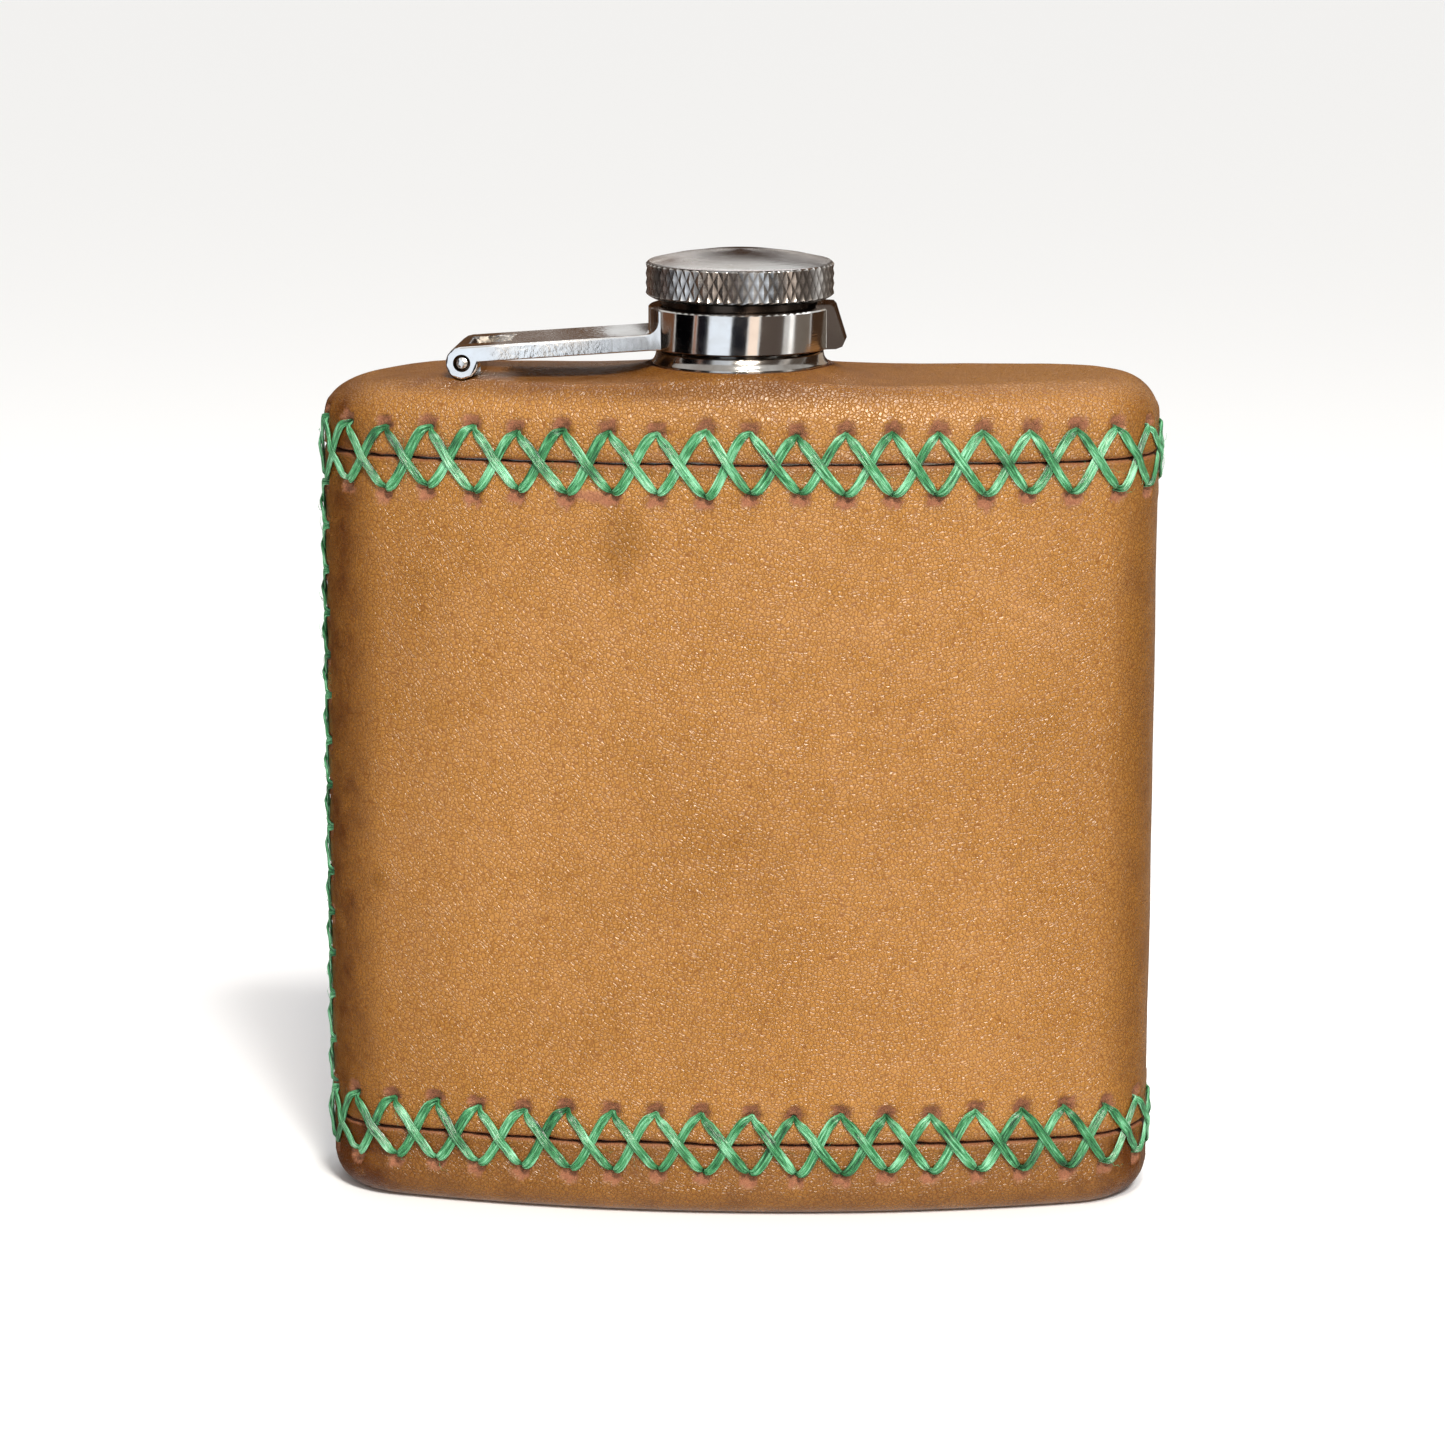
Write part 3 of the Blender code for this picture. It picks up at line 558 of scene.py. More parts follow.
def topRows(spot, out, seamHeight, wallTop):
    # up the wall from the seam, over the shoulder and in to the neck's hole
    rows = []
    inset = shoulderInset(spot)[..., None]
    for height in rowsBetween(seamHeight, wallTop, 1.0, 1.0):
        rows.append(rowAt(spot, height))
    for turn in np.linspace(0, math.pi / 2, 20)[1:]:
        flat = spot - out * inset * (1 - math.cos(turn))
        drop = cover["shoulderDrop"] * (1 - math.sin(turn))
        rows.append(rowAt(flat, cover["flatTop"] - drop + neckLift(flat) * math.sin(turn)))
    edge = spot - out * inset
    way = edge - neckPlan
    hole = neckPlan + way / np.linalg.norm(way, axis=-1, keepdims=True) * cover["neckHole"]
    for share in np.linspace(0, 1, 44)[1:]:
        flat = edge + (hole - edge) * share ** 0.8
        rows.append(rowAt(flat, cover["flatTop"] + neckLift(flat)))
    return np.stack(rows)


def makeTop(material):
    wallTop = cover["flatTop"] - cover["shoulderDrop"]
    seamHeight = cover["topSeam"] + cover["borderGap"]
    base = topRows(*onPlan(roundColumns), seamHeight, wallTop)
    settled = smoothStep(-base[..., 0], 33 * mm, 46 * mm)
    settled *= smoothStep(base[..., 2], wallTop, cover["flatTop"])
    base[..., 2] -= cover["cornerDrop"] * settled
    normal = gridNormals(base, True)
    along = np.broadcast_to(roundColumns, base.shape[:2])
    up = np.cumsum(np.linalg.norm(np.diff(base, axis=0, prepend=base[:1]), axis=-1), axis=0)
    height = seamHeight + up
    sink, bare, dark = holeShape(along, height, [holes["topUpper"]], cover["topSeam"])
    fromNeck = np.linalg.norm(base[..., :2] - neckPlan, axis=-1) - cover["neckHole"]
    border = np.minimum(up, fromNeck)
    lift = sink + roundBorder(border) + leatherUnevenness(base) * smoothStep(fromNeck, 0, 3 * mm)
    lift += seamPuff(along, up, seamEdge["topSeed"])
    outer = base + normal * lift[..., None]
    outer[..., 2] += seamWave(along, up, seamEdge["topSeed"], 1)
    drop, nearKnuckle = knuckleGroove(outer)
    outer[..., 2] += drop
    points, faces, picked = sheetMesh(outer, normal, True)
    ring = np.exp(-(fromNeck / (1.3 * mm)) ** 2)
    values = {
        "bare": np.maximum(bare, cutEdge(border)),
        "dark": np.maximum.reduce([
            dark, edgeWax(up, 0.5), 0.7 * ring, 0.9 * nearKnuckle, endBurnishAndShade(base), topBurnishAndShade(base),
        ]),
        "shade": np.zeros_like(up),
    }
    return finishSheet("leather_top_cover", points, faces, values, picked, material, "leather_top")


def makeBottom(material):
    spot, out = onPlan(roundColumns)
    rows = []
    rise = cover["baseRise"]
    edge = spot - out * cover["baseInset"]
    for share in np.linspace(0.04, 1, 16)[:-1]:
        rows.append(rowAt(neckPlan + (edge - neckPlan) * share, 0))
    for turn in np.linspace(math.pi / 2, 0, 14):
        flat = spot - out * cover["baseInset"] * (1 - math.cos(turn))
        rows.append(rowAt(flat, rise * (1 - math.sin(turn))))
    seamHeight = cover["bottomSeam"] - cover["borderGap"]
    for height in rowsBetween(rise, seamHeight, 1.0, 1.0)[1:]:
        rows.append(rowAt(spot, height))
    base = np.stack(rows)
    normal = gridNormals(base, True)
    along = np.broadcast_to(roundColumns, base.shape[:2])
    height = base[..., 2]
    sink, bare, dark = holeShape(along, height, [holes["bottomLower"]], cover["bottomSeam"])
    fromSeam = seamHeight - height
    upright = smoothStep(height, 0.2 * mm, 3.0 * mm)
    lift = sink * upright + roundBorder(fromSeam) + leatherUnevenness(base) * upright
    lift += seamPuff(along, fromSeam, seamEdge["bottomSeed"])
    outer = base + normal * lift[..., None]
    outer[..., 2] += seamWave(along, fromSeam, seamEdge["bottomSeed"], -1)
    outer[..., 2] = np.maximum(outer[..., 2], 0.0)
    points, faces, picked = sheetMesh(outer, normal, True)
    # painted shade: the base is darkened all over and most at its foot beside the floor
    values = {
        "bare": np.maximum(bare, cutEdge(fromSeam)),
        "dark": np.maximum.reduce([
            dark, edgeWax(fromSeam, 0.55), 0.75 * (1 - smoothStep(height, 0.0, 2.2 * mm)),
            endBurnishAndShade(base) + 0.62,
        ]),
        "shade": np.zeros_like(height),
    }
    return finishSheet("leather_base_cover", points, faces, values, picked, material, "leather_bottom")


# leather finish

leather = {
    "light": "#B88448", "middle": "#AB7737", "deep": "#956424", "burntAndShaded": "#582C00",
    "flesh": "#B67A58", "fleshDark": "#6E3B22",
}


def makeLeatherMaterial():
    # vegetable-tanned hide, waxed and burnished by hand: warm, mottled, dark where the edges were rubbed;
    # painted shade darkens the narrow ends, the top and the base
    name = "vegetable tanned leather, waxed and burnished"
    material, tree, skin = newMaterial(name, {"Specular IOR Level": 0.25})
    here = {"Vector": addNode(tree, "TexCoord").outputs["Object"]}
    cloud = addNode(tree, "TexNoise", {"Scale": 30.0, "Detail": 3.0, "Roughness": 0.5}, here)
    blotch = addNode(tree, "TexNoise", {"Scale": 240.0, "Detail": 6.0, "Roughness": 0.66}, here)
    fibre = addNode(tree, "TexNoise", {"Scale": 1500.0, "Detail": 3.0, "Roughness": 0.7}, here)
    # pores are about 0.2 mm on the hide, drawn at 0.4 mm so that they still show at arm's length
    warp = addNode(tree, "TexNoise", {"Scale": 600.0, "Detail": 2.0}, here)
    bend = addNode(tree, "VectorMath", {"operation": "SCALE", "Scale": 0.0009}, {0: warp.outputs["Color"]})
    bent = addNode(tree, "VectorMath", {"operation": "ADD"}, {0: here["Vector"], 1: bend})
    pores = addNode(tree, "TexVoronoi", {"feature": "DISTANCE_TO_EDGE", "Scale": 2300.0}, {"Vector": bent})
    folds = addNode(tree, "TexVoronoi", {"feature": "DISTANCE_TO_EDGE", "Scale": 900.0}, {"Vector": bent})

    part = addNode(tree, "Math", {"operation": "MULTIPLY", 1: 0.45}, {0: blotch})
    tone = addNode(tree, "Math", {"operation": "MULTIPLY_ADD", 1: 0.55}, {0: cloud, 2: part})
    # the three values painted on the leather's points
    painted = [addNode(tree, "Attribute", {"attribute_name": key}) for key in ("shade", "dark", "bare")]
    shade, dark, bare = (node.outputs["Fac"] for node in painted)
    marked = addNode(tree, "Math", {"operation": "MULTIPLY_ADD", 1: 0.42}, {0: shade, 2: tone})

    ramp = addNode(tree, "ValToRGB", {}, {0: marked})
    stops = ramp.color_ramp.elements
    stops[0].position, stops[0].color = 0.18, colour(leather["deep"])
    stops[1].position, stops[1].color = 0.82, colour(leather["light"])
    stops.new(0.5).color = colour(leather["middle"])

    inPores = {"From Min": 0.0, "From Max": 0.12, "To Min": 0.62, "To Max": 0.0}
    poreDark = addNode(tree, "MapRange", inPores, {"Value": pores})
    stain = {"data_type": "RGBA", "blend_type": "MULTIPLY", 7: colour("#9A6B42")}
    pored = addNode(tree, "Mix", stain, {0: poreDark, 6: ramp}).outputs[2]
    # wax gathers and darkens round the stitches and the seams; painted shade darkens the narrow ends, the top
    # and the base, most at its foot
    ragged = addNode(tree, "Math", {"operation": "MULTIPLY", 1: 1.5}, {0: blotch})
    burnishShadeMask = addNode(tree, "Math", {"operation": "MULTIPLY"}, {0: dark, 1: ragged})
    rubbedAndShaded = {"data_type": "RGBA", 7: colour(leather["burntAndShaded"])}
    burntAndShaded = addNode(tree, "Mix", rubbedAndShaded, {0: burnishShadeMask, 6: pored}).outputs[2]
    # bare flesh side in the punched holes and along the cut edges
    flesh = {"data_type": "RGBA", 6: colour(leather["fleshDark"]), 7: colour(leather["flesh"])}
    fleshTone = addNode(tree, "Mix", flesh, {0: fibre}).outputs[2]
    bared = addNode(tree, "Mix", {"data_type": "RGBA"}, {0: bare, 6: burntAndShaded, 7: fleshTone})

    waxed = {"From Min": 0.3, "From Max": 0.7, "To Min": 0.25, "To Max": 0.38}
    gloss = addNode(tree, "MapRange", waxed, {"Value": blotch})
    rough = addNode(tree, "Mix", {"data_type": "FLOAT", 3: 0.85}, {0: bare, 2: gloss})

    poreHeight = addNode(tree, "MapRange", {"From Max": 0.2}, {"Value": pores})
    foldHeight = addNode(tree, "MapRange", {"From Max": 0.25}, {"Value": folds})
    grain = addNode(tree, "Math", {"operation": "MULTIPLY_ADD", 1: 0.55}, {0: foldHeight, 2: poreHeight})
    grainFine = addNode(tree, "Math", {"operation": "MULTIPLY_ADD", 1: 1.1}, {0: fibre, 2: grain})
    bump = addNode(tree, "Bump", {"Strength": 1.0, "Distance": 0.000048}, {"Height": grainFine})
    feed(tree, skin, {"Base Color": bared.outputs[2], "Roughness": rough, "Normal": bump})
    return material


leatherMaterial = makeLeatherMaterial()
makeWrap(leatherMaterial)
makeTop(leatherMaterial)
makeBottom(leatherMaterial)
print("leather done, laying the stitches")


# floss: flat waxed thread of a few filaments, crossed by hand

floss = {
    "width": 1.12 * mm, "inHole": 0.7 * mm, "thick": 0.36 * mm,
    "lift": 0.28 * mm, "over": 0.34 * mm, "dive": 1.2 * mm, "diveReach": 0.45 * mm,
    "under": -0.06 * mm, "crossReach": 0.125, "bow": 0.12 * mm,
    "filaments": 7, "perFilament": 4, "lowCount": 5, "steps": 19, "strayShare": 0.75,
}


def unit(ways):
    return ways / np.linalg.norm(ways, axis=-1, keepdims=True)


def stitchPath(start, end, over):
    # middle line of one stitch: out of its hole, across the seam, into the other hole
    share = 0.5 - 0.5 * np.cos(np.pi * np.arange(floss["steps"]) / (floss["steps"] - 1))
    gap = roundGap(end[0], start[0])
    climb = end[1] - start[1]
    length = math.hypot(gap, climb)
    sag = np.sin(np.pi * share) * random.uniform(-floss["bow"], floss["bow"]) / length
    # the strand beneath leaves and meets its holes flat, the one on top is pulled straighter
    eased = share * share * (3 - 2 * share)
    rise = share + (eased - share) * (0.3 if over else random.uniform(0.95, 1.35))
    along = start[0] + gap * share - climb * sag
    height = start[1] + climb * rise + gap * sag
    run = share * length
    toEnd = np.minimum(run, length - run)
    lift = floss["lift"] - floss["dive"] * np.exp(-(toEnd / floss["diveReach"]) ** 2)
    crossing = np.exp(-((share - 0.5) / floss["crossReach"]) ** 2)
    lift = lift + crossing * (floss["over"] if over else floss["under"])
    return share, run, toEnd, along, height, lift


def flossSegment(start, end, over, store):
    share, run, toEnd, along, height, lift = stitchPath(start, end, over)
    steps = floss["steps"]
    spot, out = onPlan(along)
    centre = rowAt(spot + out * lift[:, None], height)
    side = np.cross(rowAt(out, 0), unit(np.gradient(rowAt(spot, height), axis=0)))
    upward = np.cross(unit(np.gradient(centre, axis=0)), side)
    spread = floss["width"] * random.uniform(0.9, 1.08) - floss["inHole"]
    width = floss["inHole"] + spread * smoothStep(toEnd, 0.2 * mm, 1.6 * mm)
    topCount = floss["filaments"] * floss["perFilament"] + 1
    across = np.linspace(-1, 1, topCount)
    dome = np.sqrt(np.maximum(1 - across ** 2, 0))
    lowAcross = np.linspace(0.9, -0.9, floss["lowCount"])
    lowHigh = -floss["thick"] * 0.42 * np.sqrt(1 - lowAcross ** 2)
    twist = random.uniform(-1.6, -0.4)
    phase = random.random()
    tilt = random.uniform(-0.12, 0.12)
    first = len(store["points"])
    for step in range(steps):
        # filaments lie side by side and slide across the stitch as it twists
        slide = phase + twist * share[step]
        ridge = np.abs(np.sin(np.pi * (across * floss["filaments"] / 2 + slide)))
        high = 0.30 * dome + 0.26 * ridge * (0.35 + 0.65 * dome) + across * tilt
        flat = np.concatenate([across, lowAcross])
        raised = np.concatenate([high * floss["thick"], lowHigh])
        ring = centre[step] + side[step] * (flat * width[step] / 2)[:, None] + upward[step] * raised[:, None]
        store["points"].extend(ring.tolist())
        beside = (flat + 1) / 2 * floss["width"] / mm + store["count"] * 3.7
        store["uv"].extend((u, run[step] / mm + store["count"] * 1.3) for u in beside)
    addTube(first, steps, topCount + floss["lowCount"], store)
    store["count"] += 1
    if random.random() < floss["strayShare"]:
        strayFibre(centre, side, upward, store)


def addTube(first, steps, around, store):
    # faces between rings of points, closed at both ends
    for step in range(steps - 1):
        low = first + step * around
        for k in range(around):
            after = (k + 1) % around
            store["faces"].append((low + k, low + after, low + around + after, low + around + k))
    store["faces"].append([first + k for k in range(around)][::-1])
    store["faces"].append([first + (steps - 1) * around + k for k in range(around)])


hair = {"rings": 6, "sides": 3, "radius": 0.035 * mm, "root": 0.12 * mm, "rise": 0.35 * mm}


def strayFibre(centre, side, upward, store):
    # a loose hair of floss standing off the edge of a stitch
    begin = random.randint(3, floss["steps"] - 8)
    edge = random.choice((-1, 1))
    reach = random.uniform(0.5, 1.5) * mm
    curl = random.uniform(-0.5, 0.5) * mm
    first = len(store["points"])
    forward = np.cross(side[begin], upward[begin])
    for i in range(hair["rings"]):
        share = i / (hair["rings"] - 1)
        place = centre[begin + i // 2] + side[begin] * edge * (floss["width"] * 0.46 + reach * share)
        place = place + upward[begin] * (hair["root"] + hair["rise"] * math.sin(2.4 * share))
        place = place + forward * curl * share ** 2
        for k in range(hair["sides"]):
            turn = math.tau * k / hair["sides"]
            offset = upward[begin] * math.cos(turn) + forward * math.sin(turn)
            store["points"].append((place + offset * hair["radius"] * (1 - 0.6 * share)).tolist())
            store["uv"].append((share, i * 0.2))
    addTube(first, hair["rings"], hair["sides"], store)


def makeStrand(name, node, pairs, material):
    store = {"points": [], "faces": [], "uv": [], "count": 0}
    for start, end, over in pairs:
        flossSegment(start, end, over, store)
    points = np.array(store["points"])
    piece = showMesh(name, points, store["faces"], material, "flask", [node])
    layer = piece.data.uv_layers.new(name="floss")
    corners = np.zeros(len(piece.data.loops), np.int32)
    piece.data.loops.foreach_get("vertex_index", corners)
    layer.data.foreach_set("uv", np.array(store["uv"], np.float32)[corners].ravel())


def makeFlossMaterial():
    # filament floss, waxed: fine streaks along the stitch and a soft silky sheen
    material, tree, skin = newMaterial("waxed green floss, flat filament", {
        "Sheen Weight": 0.35, "Sheen Roughness": 0.4, "Sheen Tint": colour("#BFE3C6"),
    })
    uv = addNode(tree, "UVMap", {"uv_map": "floss"})
    stretch = addNode(tree, "Mapping", {"Scale": (4.5, 0.4, 1.0)}, {"Vector": uv})
    streak = addNode(tree, "TexNoise", {"Scale": 1.0, "Detail": 3.0, "Roughness": 0.6}, {"Vector": stretch})
    place = addNode(tree, "TexCoord").outputs["Object"]
    patch = addNode(tree, "TexNoise", {"Scale": 260.0, "Detail": 2.0}, {"Vector": place})
    part = addNode(tree, "Math", {"operation": "MULTIPLY", 1: 0.65}, {0: streak})
    total = addNode(tree, "Math", {"operation": "MULTIPLY_ADD", 1: 0.35}, {0: patch, 2: part})
    # the ramp's dark end is painted shade between the filaments and its pale end painted highlight along
    # them, over the floss's own uneven green
    ramp = addNode(tree, "ValToRGB", {}, {0: total})
    stops = ramp.color_ramp.elements
    stops[0].position, stops[0].color = 0.38, colour("#0D4222")
    stops[1].position, stops[1].color = 0.64, colour("#97DDB2")
    stops.new(0.5).color = colour("#3D8F57")
    fine = addNode(tree, "Mapping", {"Scale": (7.0, 0.5, 1.0)}, {"Vector": uv})
    fibres = addNode(tree, "TexNoise", {"Scale": 1.0, "Detail": 2.0}, {"Vector": fine})
    bump = addNode(tree, "Bump", {"Strength": 1.0, "Distance": 0.00018}, {"Height": fibres})
    rough = addNode(tree, "MapRange", {"To Min": 0.26, "To Max": 0.5}, {"Value": streak})
    feed(tree, skin, {"Base Color": ramp, "Roughness": rough, "Normal": bump})
    return material


def zigzag(first, rowA, rowB, count, closedRound, inward):
    # one strand: it goes over at one slant and under at the other; inward is the way from row A to row B
    pairs = []
    for index in range(count if closedRound else count - 1):
        after = (index + 1) % count
        fromUpper = (index + first) % 2 == 0
        start = rowA[index] if fromUpper else rowB[index]
        end = rowB[after] if fromUpper else rowA[after]
        step = inward if fromUpper else -inward
        pairs.append((start + step, end - step, fromUpper))
    return pairs


flossMaterial = makeFlossMaterial()
towardsLower = np.array([0, stitch["threadHalf"] - stitch["half"]])
towardsNear = np.array([stitch["sideThreadHalf"] - stitch["sideHalf"], 0])
strands = [
    ("top_seam", "topUpper", "topLower", stitch["count"], True, towardsLower),
    ("bottom_seam", "bottomUpper", "bottomLower", stitch["count"], True, towardsLower),
    ("side_seam", "sideFar", "sideNear", stitch["sideRows"], False, towardsNear),
]
for first in (0, 1):
    for seam, rowA, rowB, count, closedRound, inward in strands:
        pairs = zigzag(first, holes[rowA], holes[rowB], count, closedRound, inward)
        makeStrand(f"{seam}_floss_{first + 1}", f"{seam}_thread_{first + 1}", pairs, flossMaterial)
print("stitches done, finishing the metal")


# metal finishes, on the CAD's own shapes

metal = {
    "polished": "#DCDAD6", "warm": "#C9C3BC", "satin": "#B9B6B1", "grime": "#8A8178",
    # gap is the painted shade on the cap's skirt under the knurl; groove darkens the bottoms of the knurl's
    # cuts
    "gap": "#3A322C", "groove": "#574E48",
}


# heights and distances from the neck's axis where the cap's colour changes: painted shade on the skirt under
# the knurl, darker bottoms of the knurl's cuts
capShadeAndGrooves = {
    "shadeStart": 105.3 * mm, "shadeEnd": 105.7 * mm, "grooveFloor": 10.46 * mm, "grooveTop": 10.72 * mm,
    "rim": 10.35 * mm, "grooveAmount": 0.75,
}


def spinRings(tree, skin, place, base, height):
    # rings left by the polishing wheel, about 0.15 mm apart and drawn at 0.35 mm so that they show
    axis = (neckAxis.x, neckAxis.y, 0)
    middle = addNode(tree, "VectorMath", {"operation": "SUBTRACT", 1: axis}, {0: place})
    flat = addNode(tree, "VectorMath", {"operation": "MULTIPLY", 1: (1, 1, 0)}, {0: middle})
    away = addNode(tree, "VectorMath", {"operation": "LENGTH"}, {0: flat}).outputs["Value"]
    rings = addNode(tree, "TexNoise", {"noise_dimensions": "1D", "Scale": 3000.0, "Detail": 3.0}, {"W": away})
    total = addNode(tree, "Math", {"operation": "MULTIPLY_ADD", 1: 1.6}, {0: rings, 2: height})
    # painted shade: under the knurl the skirt is darkened towards the gap's colour, the shadow between cap
    # and ring
    tall = addNode(tree, "SeparateXYZ", {}, {0: place}).outputs[2]
    skirtShadeRange = {"From Min": capShadeAndGrooves["shadeStart"], "From Max": capShadeAndGrooves["shadeEnd"], "To Min": 1.0, "To Max": 0.0}
    skirtShade = addNode(tree, "MapRange", skirtShadeRange, {"Value": tall})
    shadedSkirt = addNode(tree, "Mix", {"data_type": "RGBA", 7: colour(metal["gap"])}, {0: skirtShade, 6: base})
    # and the bottoms of the knurl's cuts are darkened
    groove = addNode(tree, "MapRange", {
        "From Min": capShadeAndGrooves["grooveFloor"], "From Max": capShadeAndGrooves["grooveTop"],
        "To Min": capShadeAndGrooves["grooveAmount"], "To Max": 0.0,
    }, {"Value": away})
    onRim = addNode(tree, "Math", {"operation": "GREATER_THAN", 1: capShadeAndGrooves["rim"]}, {0: away})
    held = addNode(tree, "Math", {"operation": "MULTIPLY"}, {0: groove, 1: onRim})
    grooveDark = {"data_type": "RGBA", 7: colour(metal["groove"])}
    cut = addNode(tree, "Mix", grooveDark, {0: held, 6: shadedSkirt.outputs[2]})
    tangent = addNode(tree, "Tangent", {"direction_type": "RADIAL", "axis": "Z"})
    feed(tree, skin, {"Base Color": cut.outputs[2], "Tangent": tangent})
    skin.inputs["Anisotropic"].default_value = 0.7
    return total


castEnd = {
    "start": 2.2 * mm, "full": 4 * mm, "fade": 10 * mm, "end": 17 * mm,   # distances from the hinge pin
    "dulling": 0.14, "depth": 0.14 * mm,
}


def castPits(tree, skin, place, rough, normal, amount):
    # the arm's hinge end was left as cast: small pits that fade out towards the ring
    pits = addNode(tree, "TexNoise", {"Scale": 1500.0, "Detail": 2.0, "Roughness": 0.6}, {"Vector": place})
    along = {"Value": addNode(tree, "SeparateXYZ", {}, {0: place}).outputs[0]}
    start, full, fadeStart, end = (hingeAt.x + castEnd[k] for k in ("start", "full", "fade", "end"))
    fading = {"From Min": fadeStart, "From Max": end, "To Min": 1.0, "To Max": 0.0}
    fade = addNode(tree, "MapRange", fading, along)
    begin = addNode(tree, "MapRange", {"From Min": start, "From Max": full}, along)
    area = addNode(tree, "Math", {"operation": "MULTIPLY"}, {0: begin, 1: fade})
    deep = addNode(tree, "Math", {"operation": "MULTIPLY"}, {0: pits, 1: area})
    spread = {"operation": "MULTIPLY_ADD", 1: castEnd["dulling"]}
    feed(tree, skin, {"Roughness": addNode(tree, "Math", spread, {0: area, 2: rough})})
    pitted = {"Strength": amount, "Distance": castEnd["depth"]}
    return addNode(tree, "Bump", pitted, {"Height": deep, "Normal": normal})


def makeSteel(name, base, tint, roughLow, roughHigh, scratchDepth, castAmount=0.0, spun=False):
    # fingered steel: the smears change its colour and its shine together, hairlines cross it
    material, tree, skin = newMaterial(name, {"Metallic": 1.0})
    place = addNode(tree, "TexCoord").outputs["Object"]
    smear = addNode(tree, "TexNoise", {"Scale": 160.0, "Detail": 5.0, "Roughness": 0.6}, {"Vector": place})
    fine = addNode(tree, "TexNoise", {"Scale": 1700.0, "Detail": 2.0}, {"Vector": place})
    tone = addNode(tree, "MapRange", {"From Min": 0.35, "From Max": 0.68}, {"Value": smear})
    mixed = addNode(tree, "Mix", {"data_type": "RGBA", 6: colour(base), 7: colour(tint)}, {0: tone})
    dulling = {"From Min": 0.32, "From Max": 0.72, "To Min": roughLow, "To Max": roughHigh}
    rough = addNode(tree, "MapRange", dulling, {"Value": smear})
    feed(tree, skin, {"Base Color": mixed.outputs[2], "Roughness": rough})
    # hairlines from polishing and handling
    stretch = {"Scale": (220.0, 220.0, 5200.0), "Rotation": (0.2, 0.35, 0.1)}
    lines = addNode(tree, "Mapping", stretch, {"Vector": place})
    scratch = addNode(tree, "TexNoise", {"Scale": 1.0, "Detail": 3.0}, {"Vector": lines})
    height = addNode(tree, "Math", {"operation": "MULTIPLY_ADD", 1: 0.5}, {0: fine, 2: scratch})
    if spun:
        height = spinRings(tree, skin, place, mixed.outputs[2], height)
    normal = addNode(tree, "Bump", {"Strength": 0.35, "Distance": scratchDepth}, {"Height": height})
    if castAmount:
        normal = castPits(tree, skin, place, rough, normal, castAmount)
    feed(tree, skin, {"Normal": normal})
    return material


polished, warm, satin, grime = (metal[k] for k in ("polished", "warm", "satin", "grime"))
spunSteel = makeSteel("stainless steel, spun and polished", polished, warm, 0.16, 0.30, 0.020 * mm, spun=True)
polishedSteel = makeSteel("stainless steel, buffed bright", polished, warm, 0.07, 0.17, 0.012 * mm, 0.45)
pinSteel = makeSteel("stainless pin, peened end", polished, satin, 0.16, 0.30, 0.030 * mm)
satinSteel = makeSteel("stainless steel, drawn and satin", satin, grime, 0.26, 0.42, 0.020 * mm)
collarSteel = makeSteel("stainless collar, buffed", satin, grime, 0.10, 0.22, 0.020 * mm)


def makeSealMaterial():
    # moulded silicone, slightly milky, with a ring pressed in by the neck
    material, tree, skin = newMaterial("silicone seal, moulded")
    place = addNode(tree, "TexCoord").outputs["Object"]
    cloud = addNode(tree, "TexNoise", {"Scale": 300.0, "Detail": 3.0}, {"Vector": place})
    milky = {"data_type": "RGBA", 6: colour("#C9C3B4"), 7: colour("#A79F8D")}
    mixed = addNode(tree, "Mix", milky, {0: cloud}).outputs[2]
    fine = addNode(tree, "TexNoise", {"Scale": 2400.0}, {"Vector": place})
    bump = addNode(tree, "Bump", {"Strength": 0.3, "Distance": 0.00004}, {"Height": fine})
    rough = addNode(tree, "MapRange", {"To Min": 0.5, "To Max": 0.7}, {"Value": cloud})
    feed(tree, skin, {"Base Color": mixed, "Roughness": rough, "Normal": bump})
    return material


sealMaterial = makeSealMaterial()


def smoothCorners(mesh, limit=34):
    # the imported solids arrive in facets: their round faces get one flowing normal at each point
    count = len(mesh.polygons)
    way = np.zeros(count * 3)
    size = np.zeros(count)
    corners = np.zeros(len(mesh.loops), np.int32)
    mesh.polygons.foreach_get("normal", way)
    mesh.polygons.foreach_get("area", size)
    mesh.loops.foreach_get("vertex_index", corners)
    way = way.reshape(-1, 3)
    faceOf = np.repeat(np.arange(count), [p.loop_total for p in mesh.polygons])
    spots = np.array([v.co for v in mesh.vertices])[corners].round(7)
    same = np.unique(spots, axis=0, return_inverse=True)[1].ravel()
    order = np.argsort(same, kind="stable")
    found = np.zeros((len(corners), 3))
    for group in np.split(order, np.flatnonzero(np.diff(same[order])) + 1):
        near = way[faceOf[group]]
        weight = (near @ near.T > math.cos(math.radians(limit))) * size[faceOf[group]]
        total = weight @ near
        found[group] = total / np.linalg.norm(total, axis=1, keepdims=True)
    mesh.shade_smooth()
    mesh.normals_split_custom_set(found.tolist())


finishes = {
    "screw_cap": (spunSteel, "polished_steel"),
    "captive_arm": (polishedSteel, "polished_steel"),
    "hinge_bracket": (collarSteel, "polished_steel"),
    "hinge_pin": (pinSteel, "polished_steel"),
    "neck_collar": (collarSteel, "body_steel"),
    "neck_tube": (collarSteel, "body_steel"),
    "cap_thread_liner": (satinSteel, "body_steel"),
    "cap_seal_disc": (sealMaterial, "seal_rubber"),
    "steel_body_wall": (satinSteel, "body_steel"),
    "steel_top_plate": (satinSteel, "body_steel"),
    "steel_bottom_plate": (satinSteel, "body_steel"),
}

for node, (finish, slotName) in finishes.items():
    shown = frame["nodes"][node]
    smoothCorners(shown.data)
    shown.data.materials.clear()
    shown.data.materials.append(finish)


# floor, light and camera

